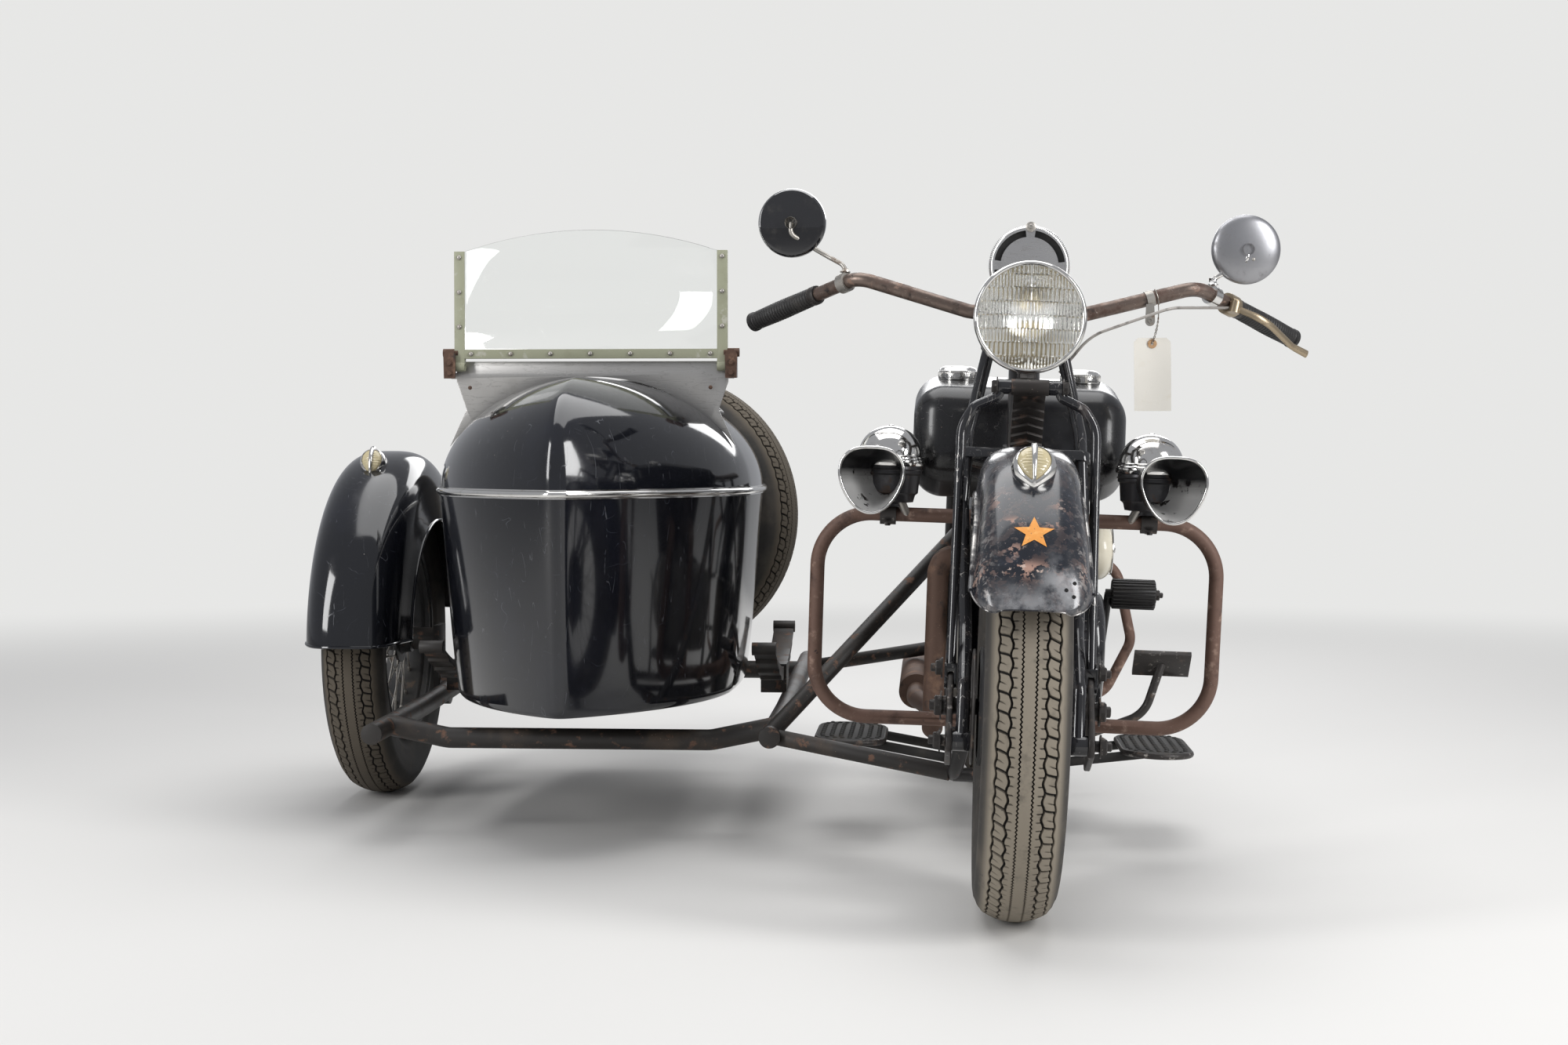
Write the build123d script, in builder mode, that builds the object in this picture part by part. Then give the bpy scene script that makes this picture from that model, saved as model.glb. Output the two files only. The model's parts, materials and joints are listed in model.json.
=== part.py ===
from build123d import *
import os
from math import atan2, cos, hypot, radians, sin, sqrt

# Axes while drawing: +Z up, the ground at z = 0, -Y to the front, +X to the rider's left.
# The motorcycle's mid-plane is x = 0 and its front axle is over y = 0. Millimetres.

# Driving dimensions of the motorcycle
wheelbase = 1572
rake_deg = 28
trail = 100
lean_deg = 2.0
steer_lock_deg = 28

# Wheels, all four alike
tyre_radius = 334
tyre_width = 130
bead_radius = 206
rim_width = 92
rim_wall = 4
rim_flange_height = 16
rim_well_depth = 14
spoke_count = 40
spoke_radius = 2.0
hub_flange_radius = 46
hub_flange_offset = 30
hub_barrel_radius = 28
running_gap = 0.05
moving_gap = 6

# Final drive
chain_x = 84
chain_width = 10
chain_height = 12
chain_front_radius = 58
chain_rear_radius = 88
sprocket_radius = chain_rear_radius - chain_height - moving_gap

# Fenders of the motorcycle
fender_gap = 28
fender_half_width = 77
fender_crown_rise = 18
fender_skirt = 58
fender_wall = 3

# Fork
fork_leg_radius = 11
fork_rod_radius = 8
stem_radius = 14
head_tube_radius = 27
head_tube_low = 835
head_tube_high = 1005
rocker_thickness = 10
rocker_x = 111
front_axle_radius = 8

# Handlebar
bar_radius = 12.7
grip_radius = 17

# Lamps and horn
headlamp_radius = 94
headlamp_depth = 130
headlamp_front_y = 190
headlamp_z = 965
horn_radius = 70
horn_z = 1060
horn_front_y = 314

# Frame
frame_tube_radius = 14
cradle_z = 150
cradle_half_width = 95
rear_axle_radius = 10
rear_stay_x = 112

# Engine
crank_y = 735
crank_z = 365
crankcase_radius = 118
crankcase_half_width = 68
bank_half_angle = 21
barrel_radius = 46
fin_radius = 76
fin_thickness = 3.5
fin_pitch = 10
fin_count = 14

# Crash bar and sirens
guard_radius = 12.7
guard_half_width = 350
guard_top_z = 624
guard_bottom_z = 260
guard_y = 395
siren_x = 228
siren_radius = 61

# Sidecar
body_x = -795
body_half_width = 308
body_nose_y = 340
body_widest_y = 834
body_tail_y = 1690
belt_z = 665
hull_bottom_z = 262
body_wall = 10
crown_z = 884
cockpit_front_y = 835
cockpit_rear_y = 1420
cockpit_half_width = 205
screen_y = 800
screen_pivot_z = 908
screen_half_width = 258
side_wheel_x = -1320
side_wheel_y = 1255
side_axle_radius = 12
inner_rail_x = -430
wheel_to_rail = 140
outer_rail_x = side_wheel_x + wheel_to_rail
rail_z = 215
rail_radius = 20
spare_x = -770
spare_y = 1888
spare_z = 590
spare_yaw_deg = 22

rear_axle = (0, wheelbase, tyre_radius)
front_axle = (0, 0, tyre_radius)
rake = radians(rake_deg)
fender_radius = tyre_radius + fender_gap


def on_axis(along, ahead=0):
    """Point (0, y, z) a distance along the steering axis from the ground, and ahead of it."""
    y = -trail + along * sin(rake) - ahead * cos(rake)
    z = along * cos(rake) + ahead * sin(rake)
    return (0, y, z)


def add_tube(points, bends, radius, bore=0):
    """Adds a round tube along straight runs joined by arcs to the open part."""
    with BuildLine() as path:
        if bends:
            FilletPolyline(*points, radius=bends)
        else:
            Line(points[0], points[-1])
    with BuildSketch(Plane(origin=path.line @ 0, z_dir=path.line % 0)) as ring:
        Circle(radius)
        if bore:
            Circle(bore, mode=Mode.SUBTRACT)
    sweep(sections=ring.sketch, path=path.line)


def add_rod(start, end, radius):
    """Adds a round bar between two points to the open part."""
    line = Vector(*end) - Vector(*start)
    with Locations(Plane(origin=start, z_dir=line).location):
        Cylinder(radius, line.length, align=(Align.CENTER, Align.CENTER, Align.MIN))


def cut_rod(start, end, radius):
    """Cuts a round hole between two points out of the open part."""
    line = Vector(*end) - Vector(*start)
    with Locations(Plane(origin=start, z_dir=line).location):
        Cylinder(radius, line.length, align=(Align.CENTER, Align.CENTER, Align.MIN), mode=Mode.SUBTRACT)


def wheel_plane(centre, angle_deg=90):
    """Plane through a wheel's axle: local x along the axle, local y outward at an angle from +Y."""
    angle = radians(angle_deg)
    return Plane(origin=centre, x_dir=(1, 0, 0), z_dir=(0, -sin(angle), cos(angle)))


def make_tyre(centre):
    """A tyre as a ring with rounded tread and bulged sides, seated on the bead."""
    bead = rim_width / 2
    shoulder = 0.4 * tyre_width
    shoulder_radius = tyre_radius - 16
    with BuildPart() as ring:
        with BuildSketch(wheel_plane(centre)):
            with BuildLine():
                Polyline((-bead, bead_radius + rim_flange_height), (-bead, bead_radius),
                         (bead, bead_radius), (bead, bead_radius + rim_flange_height))
                ThreePointArc((bead, bead_radius + rim_flange_height), (tyre_width / 2, tyre_radius - 66),
                              (shoulder, shoulder_radius))
                ThreePointArc((shoulder, shoulder_radius), (0, tyre_radius), (-shoulder, shoulder_radius))
                ThreePointArc((-shoulder, shoulder_radius), (-tyre_width / 2, tyre_radius - 66),
                              (-bead, bead_radius + rim_flange_height))
            make_face()
        revolve(axis=Axis(centre, (1, 0, 0)))
    return ring.part


def make_wheel(centre, half_length, bore, drum_side, drum_radius, drum_near, drum_far):
    """Rim, crossed wire spokes and hub with its brake drum as one solid."""
    cx, cy, cz = centre
    seat = rim_width / 2
    flange = seat + rim_wall
    well = bead_radius - rim_well_depth
    with BuildPart() as wheel:
        with BuildSketch(wheel_plane(centre)):
            with BuildLine():
                Polyline((-flange, bead_radius + rim_flange_height), (-seat, bead_radius + rim_flange_height),
                         (-seat, bead_radius), (seat, bead_radius), (seat, bead_radius + rim_flange_height),
                         (flange, bead_radius + rim_flange_height), (flange, bead_radius - 6),
                         (seat - 10, well), (10 - seat, well), (-flange, bead_radius - 6), close=True)
            make_face()
        revolve(axis=Axis(centre, (1, 0, 0)))
        add_rod((cx - half_length, cy, cz), (cx + half_length, cy, cz), hub_barrel_radius)
        for side in (-1, 1):
            inner = cx + side * (hub_flange_offset - 3)
            add_rod((inner, cy, cz), (cx + side * (hub_flange_offset + 3), cy, cz), hub_flange_radius + 5)
        if drum_radius:
            add_rod((cx + drum_side * drum_near, cy, cz), (cx + drum_side * drum_far, cy, cz), drum_radius)
        if drum_side > 0 and drum_radius:
            add_rod((cx + chain_x - 4, cy, cz), (cx + chain_x + 4, cy, cz), sprocket_radius)
        places = []
        for index in range(spoke_count):
            side = 1 if index % 2 else -1
            lead = 1 if index % 4 < 2 else -1
            at_rim = radians(index * 360 / spoke_count)
            at_hub = at_rim + lead * radians(42)
            start = Vector(cx + side * hub_flange_offset, cy + hub_flange_radius * cos(at_hub),
                           cz + hub_flange_radius * sin(at_hub))
            end = Vector(cx + side * 8, cy + (well + 2) * cos(at_rim), cz + (well + 2) * sin(at_rim))
            places.append(Plane(origin=start, z_dir=end - start).location)
        spoke_length = (end - start).length
        with Locations(*places):
            Cylinder(spoke_radius, spoke_length, align=(Align.CENTER, Align.CENTER, Align.MIN))
        reach = max(half_length, drum_far) + 1
        cut_rod((cx - reach, cy, cz), (cx + reach, cy, cz), bore)
    return wheel.part


def make_fender(centre, outer, half_width, rise, skirt, first_deg, last_deg, centre_x=0):
    """A ring-shaped fender: arched crown and two straight skirts, swept round the axle."""
    middle = (centre_x, centre[1], centre[2])
    with BuildPart() as shell:
        with BuildSketch(wheel_plane(middle, first_deg)):
            with BuildLine():
                Line((-half_width, outer - skirt), (-half_width, outer - rise))
                ThreePointArc((-half_width, outer - rise), (0, outer), (half_width, outer - rise))
                Line((half_width, outer - rise), (half_width, outer - skirt))
                Line((half_width, outer - skirt), (half_width - fender_wall, outer - skirt))
                Line((half_width - fender_wall, outer - skirt), (half_width - fender_wall, outer - rise - 2))
                ThreePointArc((half_width - fender_wall, outer - rise - 2), (0, outer - fender_wall),
                              (fender_wall - half_width, outer - rise - 2))
                Line((fender_wall - half_width, outer - rise - 2), (fender_wall - half_width, outer - skirt))
                Line((fender_wall - half_width, outer - skirt), (-half_width, outer - skirt))
            make_face()
        revolve(axis=Axis(middle, (1, 0, 0)), revolution_arc=last_deg - first_deg)
    return shell.part


def cut_crown(centre, outer, half_width, rise, centre_x=0):
    """Cuts everything under a fender's arched crown out of the open part."""
    middle = (centre_x, centre[1], centre[2])
    with BuildSketch(wheel_plane(middle)) as arch:
        with BuildLine():
            Polyline((-half_width, outer - rise), (-half_width, 0), (half_width, 0), (half_width, outer - rise))
            ThreePointArc((half_width, outer - rise), (0, outer), (-half_width, outer - rise))
        make_face()
    revolve(arch.sketch, axis=Axis(middle, (1, 0, 0)), mode=Mode.SUBTRACT)


def make_shield_lamp(plane, width, height, depth, crown):
    """A shield-shaped marker lamp: a rounded block with a pointed lower end, seated on a fender's crown."""
    with BuildPart() as lamp:
        with BuildSketch(plane):
            with BuildLine():
                ThreePointArc((-width / 2, height * 0.15), (0, height / 2), (width / 2, height * 0.15))
                ThreePointArc((width / 2, height * 0.15), (width * 0.38, -height * 0.2), (0, -height / 2))
                ThreePointArc((0, -height / 2), (-width * 0.38, -height * 0.2), (-width / 2, height * 0.15))
            make_face()
        extrude(amount=depth)
        fillet(lamp.faces().sort_by(Axis(plane.origin, plane.z_dir))[-1].edges(), depth * 0.4)
        cut_crown(*crown)
    return lamp.part


nodes = {}


def keep(name, part, leaning=True):
    """Files a finished piece under its node name, with whether it leans with the motorcycle."""
    nodes[name] = (part, leaning)


# Front wheel
front_half_length = 58
front_drum_far = 66
keep("front_tyre", make_tyre(front_axle))
keep("front_wheel", make_wheel(front_axle, front_half_length, front_axle_radius + running_gap,
                               -1, 95, 46, front_drum_far))

# Rear wheel, with the chain's sprocket on the rider's left
rear_half_length = 92
keep("rear_tyre", make_tyre(rear_axle))
keep("rear_wheel", make_wheel(rear_axle, rear_half_length, rear_axle_radius + running_gap,
                              1, 95, 46, 68))

# Steering stem, crowns, fork legs and rocker links
lower_crown = head_tube_low - 28
upper_crown = head_tube_high + 22
crown_boss_radius = 16
leg_top = on_axis(upper_crown, 42)
leg_route = [(61, leg_top[1], leg_top[2]), (94, 262, 772), (100, 205, 650), (90, 70, 452),
             (90, -38, 372), (90, -50, 285)]
rocker_pivot = (-50, 285)
rod_foot = (20, 372)
with BuildPart() as fork:
    add_rod(on_axis(lower_crown - 12), on_axis(head_tube_high + 48), stem_radius)
    add_rod(on_axis(lower_crown), on_axis(head_tube_low - 9), head_tube_radius - 6)
    for along, half, ahead in ((lower_crown, 96, 40), (upper_crown, 61, 42)):
        with BuildSketch(Plane(origin=on_axis(along), x_dir=(1, 0, 0), z_dir=(0, sin(rake), cos(rake)))):
            with BuildSketch(mode=Mode.PRIVATE) as bosses:
                with Locations((half, -ahead), (-half, -ahead)):
                    Circle(crown_boss_radius)
                Circle(stem_radius + 9)
            make_hull(bosses.sketch.edges())
        extrude(amount=9, both=True)
    for side in (-1, 1):
        add_tube([(side * x, y, z) for x, y, z in leg_route], [30, 60, 40, 25], fork_leg_radius)
        add_rod((side * 78, *rocker_pivot), (side * (rocker_x - rocker_thickness / 2), *rocker_pivot), 16)
keep("fork", fork.part)

with BuildPart() as rockers:
    for side in (-1, 1):
        near = side * (rocker_x - rocker_thickness / 2)
        with BuildSketch(Plane.YZ.offset(near)):
            with BuildSketch(mode=Mode.PRIVATE) as lobes:
                for y, z, radius in ((*rocker_pivot, 20), (0, tyre_radius, 26), (*rod_foot, 14), (22, 250, 14)):
                    with Locations((y, z)):
                        Circle(radius)
            make_hull(lobes.sketch.edges())
        extrude(amount=side * rocker_thickness)
        add_rod((near, *rocker_pivot), (side * (rocker_x + 14), *rocker_pivot), 9)
        add_rod((near, 0, tyre_radius), (side * (rocker_x + 18), 0, tyre_radius), 15)
        hub_end = front_half_length if side > 0 else front_drum_far
        add_rod((side * (hub_end + 1), 0, tyre_radius), (near, 0, tyre_radius), 13)
    add_rod((-rocker_x, 0, tyre_radius), (rocker_x, 0, tyre_radius), front_axle_radius)
    add_rod((-front_drum_far - moving_gap - 5, 0, tyre_radius), (-front_drum_far - moving_gap, 0, tyre_radius), 92)
keep("rockers", rockers.part)

# Leaf spring over the fender, its front shackle bar and the two long rods
shackle_y = 78
shackle_z = 849
spring_root = on_axis(lower_crown, 62)
leaf_count = 9
leaf_thickness = 6
with BuildPart() as leaf_spring:
    slope = atan2(shackle_z - spring_root[2] - 8, spring_root[1] - shackle_y)
    length = hypot(shackle_z - spring_root[2] - 8, spring_root[1] - shackle_y)
    for index in range(leaf_count):
        reach = length * (1 - 0.075 * index) - 4
        place = Plane(origin=(0, spring_root[1], spring_root[2] - index * leaf_thickness),
                      x_dir=(0, -cos(slope), sin(slope)), z_dir=(0, sin(slope), cos(slope)))
        with BuildSketch(place):
            with BuildLine():
                Polyline((0, -26), (reach - 12, -26), (reach, 0), (reach - 12, 26), (0, 26), close=True)
            make_face()
        extrude(amount=leaf_thickness)
    add_rod((-30, shackle_y, shackle_z - 4), (30, shackle_y, shackle_z - 4), 13)
    add(fork.part, mode=Mode.SUBTRACT)
keep("leaf_spring", leaf_spring.part)

rod_route = [(46, shackle_y, shackle_z - 4), (51, shackle_y - 1, shackle_z - 20), (88, 75, 812),
             (108, 70, 780), (rocker_x, rod_foot[0], rod_foot[1] + 20)]
with BuildPart() as spring_rods:
    add_rod((-52, shackle_y, shackle_z - 4), (-30, shackle_y, shackle_z - 4), 12)
    add_rod((30, shackle_y, shackle_z - 4), (52, shackle_y, shackle_z - 4), 12)
    for side in (-1, 1):
        add_tube([(side * x, y, z) for x, y, z in rod_route], [14, 24, 60], fork_rod_radius)
        for prong in (-1, 1):
            inner = side * rocker_x + prong * rocker_thickness / 2
            outer = inner + prong * 5
            add_rod((inner, *rod_foot), (outer, *rod_foot), 13)
            low, high = min(inner, outer), max(inner, outer)
            with Locations(((low + high) / 2, rod_foot[0], rod_foot[1] + 12)):
                Box(high - low, 20, 26)
        with Locations((side * rocker_x, rod_foot[0], rod_foot[1] + 22)):
            Box(rocker_thickness + 10, 20, 12)
keep("spring_rods", spring_rods.part)

# Front fender and its marker lamp
fender_lift = 44
front_fender_middle = (0, front_axle[1], tyre_radius + fender_lift)
keep("front_fender", make_fender(front_fender_middle, fender_radius + fender_crown_rise / 2, fender_half_width,
                                 fender_crown_rise, fender_skirt, -18, 158))
lamp_plane = Plane(origin=(0, -145, 690), x_dir=(1, 0, 0), z_dir=(0, -0.866, 0.5))
front_crown = (front_fender_middle, fender_radius + fender_crown_rise / 2, fender_half_width, fender_crown_rise)
keep("front_fender_lamp", make_shield_lamp(lamp_plane, 68, 78, 56, front_crown))

# Headlamp: a bowl with its lens, carried on the upper crown
with BuildPart() as headlamp_shell:
    with BuildSketch(Plane(origin=(0, headlamp_front_y, headlamp_z), x_dir=(1, 0, 0), z_dir=(0, 0, 1))):
        with BuildLine():
            Polyline((0, 0 + 12), (headlamp_radius - 8, 12), (headlamp_radius - 8, 0), (headlamp_radius, 0),
                     (headlamp_radius, 20), (headlamp_radius - 8, 26))
            ThreePointArc((headlamp_radius - 8, 26), (headlamp_radius * 0.62, headlamp_depth * 0.75),
                          (0, headlamp_depth))
            Line((0, headlamp_depth), (0, 12))
        make_face()
    revolve(axis=Axis((0, headlamp_front_y, headlamp_z), (0, 1, 0)))
    add_rod((0, headlamp_front_y + 96, headlamp_z - 30), on_axis(head_tube_high + 22, 58), 11)
    add(fork.part, mode=Mode.SUBTRACT)
keep("headlamp_shell", headlamp_shell.part)

lens_radius = headlamp_radius - 8
lens_bulge = 15
dome_radius = (lens_radius ** 2 + lens_bulge ** 2) / (2 * lens_bulge)
dome_half = lens_bulge - (dome_radius - sqrt(dome_radius ** 2 - lens_radius ** 2 / 4))
with BuildPart() as headlamp_lens:
    with BuildSketch(Plane(origin=(0, headlamp_front_y, headlamp_z), x_dir=(1, 0, 0), z_dir=(0, 0, 1))):
        with BuildLine():
            Polyline((0, -lens_bulge), (0, 12), (lens_radius, 12), (lens_radius, 0))
            ThreePointArc((lens_radius, 0), (lens_radius / 2, -dome_half), (0, -lens_bulge))
        make_face()
    revolve(axis=Axis((0, headlamp_front_y, headlamp_z), (0, 1, 0)))
keep("headlamp_lens", headlamp_lens.part)

# Handlebar with grips, lever and mirrors
bar_route = [(-491, 600, 967), (-298, 420, 1040), (-98, 395, 984), (98, 395, 984), (298, 420, 1040),
             (491, 600, 967)]
with BuildPart() as handlebar:
    add_tube(bar_route, [50, 60, 60, 50], bar_radius)
    with Locations(Plane(origin=on_axis(head_tube_high + 64), x_dir=(1, 0, 0),
                         z_dir=(0, sin(rake), cos(rake))).location):
        Cylinder(24, 30)
    add_rod(on_axis(head_tube_high + 70), (0, 395, 980), 20)
keep("handlebar", handlebar.part)
with BuildPart() as horn:
    add_rod((0, horn_front_y, horn_z), (0, horn_front_y + 14, horn_z), horn_radius)
    add_rod((0, horn_front_y + 14, horn_z), (0, horn_front_y + 34, horn_z), horn_radius - 12)
    add_rod((0, horn_front_y + 34, horn_z), (0, horn_front_y + 80, horn_z), 34)
    add_rod((0, horn_front_y + 62, horn_z - 20), (0, 398, 990), 9)
    add(handlebar.part, mode=Mode.SUBTRACT)
keep("horn", horn.part)


def bar_point(side, share):
    """Point on the outer straight run of the handlebar, as a share of the run."""
    start = Vector(298, 420, 1040)
    end = Vector(491, 600, 967)
    point = start + (end - start) * share
    return (side * point.X, point.Y, point.Z)


with BuildPart() as grips:
    for side in (-1, 1):
        start = bar_point(side, 0.42)
        end = bar_point(side, 1.0)
        add_rod(start, end, grip_radius)
        add_rod(end, bar_point(side, 1.03), grip_radius + 1)
        cut_rod(start, end, bar_radius)
keep("grips", grips.part)

with BuildPart() as hand_lever:
    perch = bar_point(1, 0.34)
    add_rod(bar_point(1, 0.30), bar_point(1, 0.38), bar_radius + 5)
    cut_rod(bar_point(1, 0.26), bar_point(1, 0.40), bar_radius)
    pivot = (perch[0] + 8, perch[1] - 30, perch[2] - 18)
    add_rod((perch[0] + 4, perch[1] - 15, perch[2] - 8), (pivot[0], pivot[1] - 10, pivot[2] - 4), 8)
    tip = (pivot[0] + 140, pivot[1] + 92, pivot[2] - 62)
    add_rod(pivot, tip, 6)
    with Locations(tip):
        Sphere(7)
keep("hand_lever", hand_lever.part)

mirror_radius = 63
with BuildPart() as mirrors:
    for side, share, head in ((-1, 0.18, (-420, 455, 1136)), (1, 0.16, (385, 455, 1112))):
        base = bar_point(side, share)
        add_rod(bar_point(side, share - 0.05), bar_point(side, share + 0.05), bar_radius + 5)
        back = Vector(head[0], head[1] - 16, head[2])
        facing = Vector(side * -0.25, -1, 0.1).normalized()
        tail = back + facing * 10
        knee = (base[0] - side * 4, base[1] - 14, base[2] + 60)
        add_tube([(base[0], base[1] - 14, base[2] + 8), knee, (tail.X, tail.Y, tail.Z)], [18], 4.5)
        with Locations(Plane(origin=back, z_dir=facing).location):
            Cylinder(mirror_radius, 16, align=(Align.CENTER, Align.CENTER, Align.MAX))
            Cone(mirror_radius - 2, 14, 12, align=(Align.CENTER, Align.CENTER, Align.MIN))
        cut_rod(bar_point(side, share - 0.08), bar_point(side, share + 0.08), bar_radius)
keep("mirrors", mirrors.part)

# Frame
head_low = on_axis(head_tube_low)
head_high = on_axis(head_tube_high)
seat_lug = (0, 1052, 735)
with BuildPart() as bike_frame:
    add_rod(head_low, head_high, head_tube_radius)
    add_tube([(0, 350, 838), (0, 640, 838), seat_lug], [90], 15)
    add_tube([seat_lug, (0, 1088, 420), (0, 1102, cradle_z)], [200], 15)
    for side in (-1, 1):
        add_tube([(side * 20, 312, 750), (side * 55, 418, 330), (side * cradle_half_width, 500, cradle_z),
                  (side * cradle_half_width, 1200, cradle_z), (side * rear_stay_x, wheelbase, tyre_radius - 12)],
                 [120, 60, 140], frame_tube_radius)
        add_tube([(side * 12, seat_lug[1], seat_lug[2] - 20), (side * rear_stay_x, 1165, 668),
                  (side * rear_stay_x, wheelbase, tyre_radius + 12)], [60], 11)
        add_rod((side * (rear_stay_x - 7), wheelbase, tyre_radius), (side * (rear_stay_x + 7), wheelbase, tyre_radius), 30)
        add_rod((side * (rear_half_length + 1), wheelbase, tyre_radius), (side * rear_stay_x, wheelbase, tyre_radius), 16)
        add_rod((side * rear_stay_x, wheelbase, tyre_radius), (side * (rear_stay_x + 20), wheelbase, tyre_radius), 15)
    for y in (520, 1102):
        add_rod((-cradle_half_width, y, cradle_z), (cradle_half_width, y, cradle_z), 13)
    add_rod((-rear_stay_x, wheelbase, tyre_radius), (rear_stay_x, wheelbase, tyre_radius), rear_axle_radius)
    cut_rod(on_axis(head_tube_low - 30), on_axis(head_tube_high + 30), stem_radius + running_gap)
keep("bike_frame", bike_frame.part)

# Engine: crankcase, two finned cylinders, gearbox and covers
with BuildPart() as crankcase:
    add_rod((-crankcase_half_width, crank_y, crank_z), (crankcase_half_width, crank_y, crank_z), crankcase_radius)
    for sign in (-1, 1):
        angle = radians(bank_half_angle) * sign
        up = (0, sin(angle), cos(angle))
        add_rod((0, crank_y, crank_z), (0, crank_y + up[1] * 128, crank_z + up[2] * 128), 58)
    with Locations((0, crank_y, crank_z - crankcase_radius + 4)):
        Box(100, 150, 50)
    add_rod((-crankcase_half_width - 32, crank_y, crank_z), (-crankcase_half_width, crank_y, crank_z), 96)
    add_rod((-crankcase_half_width - 26, crank_y - 80, crank_z + 66),
            (-crankcase_half_width, crank_y - 80, crank_z + 66), 42)
keep("crankcase", crankcase.part)

cylinder_start = 128
port_x = -92
manifold_z = crank_z + 215


def bank_point(sign, along):
    """Point (y, z) along the front (-1) or rear (1) cylinder's axis from the crankshaft."""
    angle = radians(bank_half_angle) * sign
    return (crank_y + along * sin(angle), crank_z + along * cos(angle))


port_front = bank_point(-1, 185)
port_rear = bank_point(1, 185)
for name, sign in (("cylinder_front", -1), ("cylinder_rear", 1)):
    angle = radians(bank_half_angle) * sign
    up = Vector(0, sin(angle), cos(angle))
    origin = Vector(0, crank_y, crank_z)
    base = origin + up * cylinder_start
    with BuildPart() as cylinder:
        add_rod(base, base + up * (fin_count * fin_pitch + 22), barrel_radius)
        for index in range(fin_count):
            low = base + up * (8 + index * fin_pitch)
            add_rod(low, low + up * fin_thickness, fin_radius)
        head = base + up * (8 + fin_count * fin_pitch)
        add_rod(head, head + up * 6, fin_radius - 4)
        add_rod(head, head + up * 20, 12)
        port = bank_point(sign, 185)
        add_rod((port_x, *port), (0, *port), 24)
        with Locations((0, crank_y - sign * 148, crank_z + 200)):
            Box(400, 300, 500, mode=Mode.SUBTRACT)
        cut_rod((-200, crank_y, manifold_z), (200, crank_y, manifold_z), 19)
        cut_rod((0, crank_y - 36, manifold_z), (0, crank_y + 36, manifold_z), 12)
        add(crankcase.part, mode=Mode.SUBTRACT)
    keep(name, cylinder.part)

gearbox_y = 955
gearbox_z = 345
with BuildPart() as gearbox:
    with BuildSketch(Plane.YZ.offset(-70)):
        with Locations((gearbox_y, gearbox_z)):
            RectangleRounded(190, 190, 45)
    extrude(amount=140)
    chamfer(gearbox.faces().filter_by(Axis.X).edges(), 6)
keep("gearbox", gearbox.part)

primary_near = 90
primary_depth = 90
with BuildPart() as primary_cover:
    with BuildSketch(Plane.YZ.offset(primary_near)):
        with BuildSketch(mode=Mode.PRIVATE) as ends:
            with Locations((crank_y, crank_z)):
                Circle(118)
            with Locations((gearbox_y, gearbox_z)):
                Circle(104)
        make_hull(ends.sketch.edges())
    extrude(amount=primary_depth)
    fillet(primary_cover.faces().sort_by(Axis.X)[-1].edges(), 22)
    add_rod((crankcase_half_width, crank_y, crank_z), (primary_near, crank_y, crank_z), 60)
    add_rod((70, gearbox_y - 42, gearbox_z), (primary_near, gearbox_y - 42, gearbox_z), 18)
keep("primary_cover", primary_cover.part)

# Exhaust on the rider's right
with BuildPart() as exhaust:
    add_tube([(port_x, *port_front), (-136, *port_front), (-136, 640, 212), (-136, 1060, 207), (-172, 1200, 212),
              (-172, 1840, 244)], [30, 60, 120, 120], 20)
    add_tube([(port_x, *port_rear), (-136, *port_rear), (-136, 830, 212)], [30], 18)
    add_rod((-172, 1290, 216), (-172, 1700, 237), 38)
keep("exhaust", exhaust.part)

with BuildPart() as carburettor:
    add_rod((-14, crank_y, manifold_z), (128, crank_y, manifold_z), 17)
    add_rod((0, crank_y - 36, manifold_z), (0, crank_y + 36, manifold_z), 12)
    add_rod((102, crank_y, crank_z + 172), (102, crank_y, crank_z + 240), 22)
    for name in ("cylinder_front", "cylinder_rear"):
        add(nodes[name][0], mode=Mode.SUBTRACT)
keep("carburettor", carburettor.part)

with BuildPart() as air_cleaner:
    with BuildSketch(Plane.YZ.offset(128)):
        with Locations((crank_y, crank_z + 196)):
            Ellipse(88, 58)
    extrude(amount=62)
    fillet(air_cleaner.faces().sort_by(Axis.X)[-1].edges(), 26)
keep("air_cleaner", air_cleaner.part)

# Tank halves with their caps, and the panel between them
tank_gap = 20
tank_outer = 190
tank_corner = 60
tank_edge = 55
tank_profile = [(432, 700), (446, 850), (640, 880), (985, 812), (1012, 740), (930, 668), (520, 655)]
for name, side in (("tank_right", -1), ("tank_left", 1)):
    with BuildPart() as tank:
        with BuildSketch(Plane.YZ.offset(side * tank_gap)) as outline:
            with BuildLine():
                Polyline(*tank_profile, close=True)
            make_face()
            fillet(outline.vertices(), tank_corner)
        extrude(amount=side * (tank_outer - tank_gap))
        fillet(tank.faces().sort_by(Axis.X)[-1 if side > 0 else 0].edges(), tank_edge)
    keep(name, tank.part)

cap_x = 112
cap_y = 600
cap_foot_z = 868
with BuildPart() as filler_caps:
    for side in (-1, 1):
        add_rod((side * cap_x, cap_y, cap_foot_z), (side * cap_x, cap_y, cap_foot_z + 22), 37)
        add_rod((side * cap_x, cap_y, cap_foot_z + 22), (side * cap_x, cap_y, cap_foot_z + 28), 30)
    for name in ("tank_left", "tank_right"):
        add(nodes[name][0], mode=Mode.SUBTRACT)
keep("filler_caps", filler_caps.part)

# Saddle and its carrier
saddle_z = 812
with BuildPart() as saddle:
    with BuildSketch(Plane.XY.offset(saddle_z - 52)):
        with BuildLine():
            Line((-52, 1026), (52, 1026))
            Line((52, 1026), (172, 1250))
            ThreePointArc((172, 1250), (0, 1396), (-172, 1250))
            Line((-172, 1250), (-52, 1026))
        make_face()
    extrude(amount=52)
    fillet(saddle.faces().sort_by(Axis.Z)[-1].edges(), 20)
keep("saddle", saddle.part)

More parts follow.
